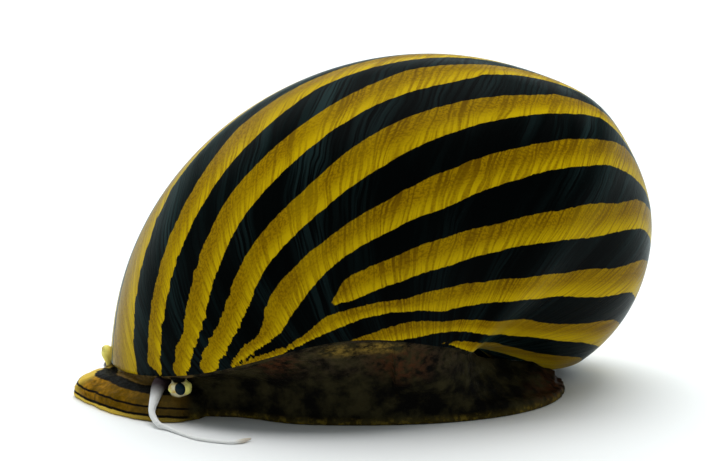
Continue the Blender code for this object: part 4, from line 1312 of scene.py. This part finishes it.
class NeriteBodySettings(bpy.types.PropertyGroup):
    """Sizes and colours of the soft body and the operculum."""

    voxel: length("Voxel", "Grain of the skin's mesh", 0.00009)
    wrinkles: number("Wrinkles", "Depth of the skin's folds", 1.0)
    gloss: number("Gloss", "Roughness of the moist skin", 0.34)
    flesh_dark: tint("Dark flesh", "Darkest tone of the flesh", (0.0048, 0.0046, 0.0036))
    flesh_olive: tint("Olive flesh", "Mottling of the foot", (0.036, 0.031, 0.013))
    flesh_brown: tint("Brown flesh", "Tone below the shell's margin", (0.070, 0.050, 0.028))
    russet: tint("Russet", "Reddish patches", (0.070, 0.022, 0.008))
    golden_patch: tint("Golden patch", "Yellow patches below the margin", (0.28, 0.18, 0.03))
    mantle_brown: tint("Mantle brown", "Thick edge of the mantle along the shell", (0.10, 0.065, 0.022))
    sole_rim: tint("Sole rim", "Edge of the sole", (0.20, 0.14, 0.02))
    flap_orange: tint("Flap orange", "Light tone of the head's flap", (0.42, 0.20, 0.008))
    flap_brown: tint("Flap brown", "Dark tone of the head's flap", (0.10, 0.053, 0.002))
    flap_rim: tint("Flap rim", "Pale lower rim of the flap", (0.72, 0.50, 0.07))
    stalk_pale: tint("Pale stalk", "Pale part of the eye stalks", (0.80, 0.74, 0.50))
    stalk_yellow: tint("Yellow stalk", "Yellow part of the eye stalks", (0.66, 0.44, 0.07))
    # painted highlight: the brighter yellow painted on the lit sides of the eye stalks
    painted_stalk_highlight: tint("Bright stalk", "Lightest yellow of the eye stalks", (0.98, 0.90, 0.24))
    feeler_root: tint("Feeler root", "Dark root of the feelers", (0.03, 0.02, 0.022))
    feeler_white: tint("Feeler white", "Milky length of the feelers", (0.80, 0.80, 0.78))
    feeler_tip: tint("Feeler tip", "Brownish tip of the feelers", (0.62, 0.50, 0.36))
    eye_black: tint("Eye black", "Colour of the eyes", (0.0012, 0.0105, 0.018))
    horn: tint("Horn", "Light tone of the operculum", (0.20, 0.07, 0.03))
    horn_dark: tint("Dark horn", "Dark tone of the operculum", (0.05, 0.018, 0.010))


class NeriteStageSettings(bpy.types.PropertyGroup):
    """Floor, lights and camera."""

    floor_colour: tint("Floor colour", "Colour of the floor", (0.86, 0.87, 0.87))
    elevation: FloatProperty(name="Elevation", description="Camera's height above the floor as an angle",
                             default=math.radians(13.0), subtype="ANGLE")
    view_width: length("View width", "Width of the view at the snail", 0.0327)
    distance: length("Distance", "Distance from the camera to the snail", 0.6)
    aim_x: FloatProperty(name="Aim", description="Place along the snail at the middle of the view",
                         default=0.00159, unit="LENGTH", precision=5)
    aim_height: length("Aim height", "Height at the middle of the view", 0.00765)
    key_power: number("Key power", "Power of the light above", 1.62)


class NERITE_OT_shell(bpy.types.Operator):
    """Make the shell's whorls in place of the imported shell"""

    bl_idname = "nerite.add_shell"
    bl_label = "Add Shell"

    def execute(self, context):
        shell = add_shell(context.scene.nerite_shell)
        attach(shell, "root")
        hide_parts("shell")
        return {"FINISHED"}


class NERITE_OT_body(bpy.types.Operator):
    """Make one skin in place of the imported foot, mantle, head, feelers and eye stalks"""

    bl_idname = "nerite.add_body"
    bl_label = "Add Soft Body"

    def execute(self, context):
        body = add_body(context.scene.nerite_body)
        feelers = [f"feeler_{side}_{part}" for side in EYE_STALKS for part in ("base", "middle", "tip")]
        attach(body, "root")
        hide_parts("mantle", "foot_front", "foot_middle", "foot_tail", "opercular_lobe", "head",
                    "head_flap", "eye_stalk_left", "eye_stalk_right", *feelers)
        return {"FINISHED"}


class NERITE_OT_eyes(bpy.types.Operator):
    """Make both eyes at the ends of their stalks"""

    bl_idname = "nerite.add_eyes"
    bl_label = "Add Eyes"

    def execute(self, context):
        for side in EYE_STALKS:
            ball = add_eye(side, context.scene.nerite_body)
            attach(ball, "root")
            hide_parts(f"eye_{side}")
        return {"FINISHED"}


class NERITE_OT_operculum(bpy.types.Operator):
    """Make the horny plate on the tail"""

    bl_idname = "nerite.add_operculum"
    bl_label = "Add Operculum"

    def execute(self, context):
        plate = add_operculum(context.scene.nerite_body)
        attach(plate, "root")
        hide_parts("operculum")
        return {"FINISHED"}


def add_light(name, place, aim, size, power, colour):
    """A soft area light that faces a place."""
    data = bpy.data.lights.new(name, "AREA")
    data.shape = "RECTANGLE"
    data.size, data.size_y = size
    data.energy = power
    data.color = colour
    light = bpy.data.objects.new(name, data)
    light.location = place
    light.rotation_euler = (Vector(aim) - Vector(place)).to_track_quat("-Z", "Y").to_euler()
    bpy.context.scene.collection.objects.link(light)


def floor_material(settings):
    """Pale and matt, with hardly any mottling."""
    finish, tree, shader = new_material("pale_floor")
    grains = place_group(tree, moist_grain_group(), Size=0.02)
    tone = mix(tree, times(tree, grains.outputs["Blotches"], 0.04), settings.floor_colour, FLOOR_SHADE)
    join(tree, tone, shader.inputs["Base Color"])
    shader.inputs["Roughness"].default_value = 0.7
    return finish


def add_floor(settings):
    """A round floor whose edge curves up far behind every view."""
    built = bmesh.new()
    centre = built.verts.new((0, 0, 0))
    angles = [ONE_TURN * k / FLOOR_SIDES for k in range(FLOOR_SIDES)]
    rings = [[built.verts.new((radius * math.cos(a), radius * math.sin(a), height)) for a in angles]
             for radius, height in FLOOR_PROFILE]
    for k in range(FLOOR_SIDES):
        built.faces.new((centre, rings[0][k], rings[0][(k + 1) % FLOOR_SIDES]))
    for here, ahead in zip(rings, rings[1:]):
        for k in range(FLOOR_SIDES):
            j = (k + 1) % FLOOR_SIDES
            built.faces.new((here[k], ahead[k], ahead[j], here[j]))
    link_object("floor", finished_mesh(built, "floor"), [floor_material(settings)])


def add_camera(settings):
    """The camera at the photo's viewing angle."""
    data = bpy.data.cameras.new("camera")
    data.sensor_width = SENSOR_WIDTH
    data.lens = SENSOR_WIDTH * settings.distance / settings.view_width
    data.clip_start, data.clip_end = 0.01, 10.0
    camera = bpy.data.objects.new("camera", data)
    aim = Vector((settings.aim_x, 0.0, settings.aim_height))
    back = Vector((0.0, -math.cos(settings.elevation), math.sin(settings.elevation)))
    camera.location = aim + back * settings.distance
    camera.rotation_euler = back.to_track_quat("Z", "Y").to_euler()
    bpy.context.scene.collection.objects.link(camera)
    bpy.context.scene.camera = camera


class NERITE_OT_stage(bpy.types.Operator):
    """Make the pale floor, the soft lights, the world and the camera"""

    bl_idname = "nerite.add_stage"
    bl_label = "Add Stage"

    def execute(self, context):
        scene = context.scene
        settings = scene.nerite_stage
        add_floor(settings)
        add_camera(settings)
        for name, place, aim, size, share, colour in LIGHTS:
            add_light(name, place, aim, size, settings.key_power * share, colour)
        scene.world = scene.world or bpy.data.worlds.new("world")
        scene.world.use_nodes = True
        background = scene.world.node_tree.nodes["Background"]
        background.inputs["Color"].default_value = WORLD_COLOUR
        background.inputs["Strength"].default_value = WORLD_STRENGTH
        scene.view_settings.view_transform = "Standard"
        return {"FINISHED"}


class NERITE_PT_panel(bpy.types.Panel):
    """Lists the pieces and their settings"""

    bl_label = "Nerite Snail"
    bl_idname = "NERITE_PT_panel"
    bl_space_type = "VIEW_3D"
    bl_region_type = "UI"
    bl_category = "Nerite Snail"

    def draw(self, context):
        groups = (
            (context.scene.nerite_shell, (NERITE_OT_shell,)),
            (context.scene.nerite_body, (NERITE_OT_body, NERITE_OT_eyes, NERITE_OT_operculum)),
            (context.scene.nerite_stage, (NERITE_OT_stage,)),
        )
        for settings, operators in groups:
            box = self.layout.box()
            for name in settings.__annotations__:
                box.prop(settings, name)
            for operator in operators:
                box.operator(operator.bl_idname)


CLASSES = (NeriteShellSettings, NeriteBodySettings, NeriteStageSettings, NERITE_OT_shell, NERITE_OT_body,
           NERITE_OT_eyes, NERITE_OT_operculum, NERITE_OT_stage, NERITE_PT_panel)


def register():
    for item in CLASSES:
        bpy.utils.register_class(item)
    bpy.types.Scene.nerite_shell = PointerProperty(type=NeriteShellSettings)
    bpy.types.Scene.nerite_body = PointerProperty(type=NeriteBodySettings)
    bpy.types.Scene.nerite_stage = PointerProperty(type=NeriteStageSettings)


def unregister():
    del bpy.types.Scene.nerite_shell
    del bpy.types.Scene.nerite_body
    del bpy.types.Scene.nerite_stage
    for item in reversed(CLASSES):
        bpy.utils.unregister_class(item)


def main():
    """Build the snail and its stage."""
    register()
    bpy.ops.nerite.add_shell()
    bpy.ops.nerite.add_body()
    bpy.ops.nerite.add_eyes()
    bpy.ops.nerite.add_operculum()
    bpy.ops.nerite.add_stage()


if __name__ == "__main__":
    main()
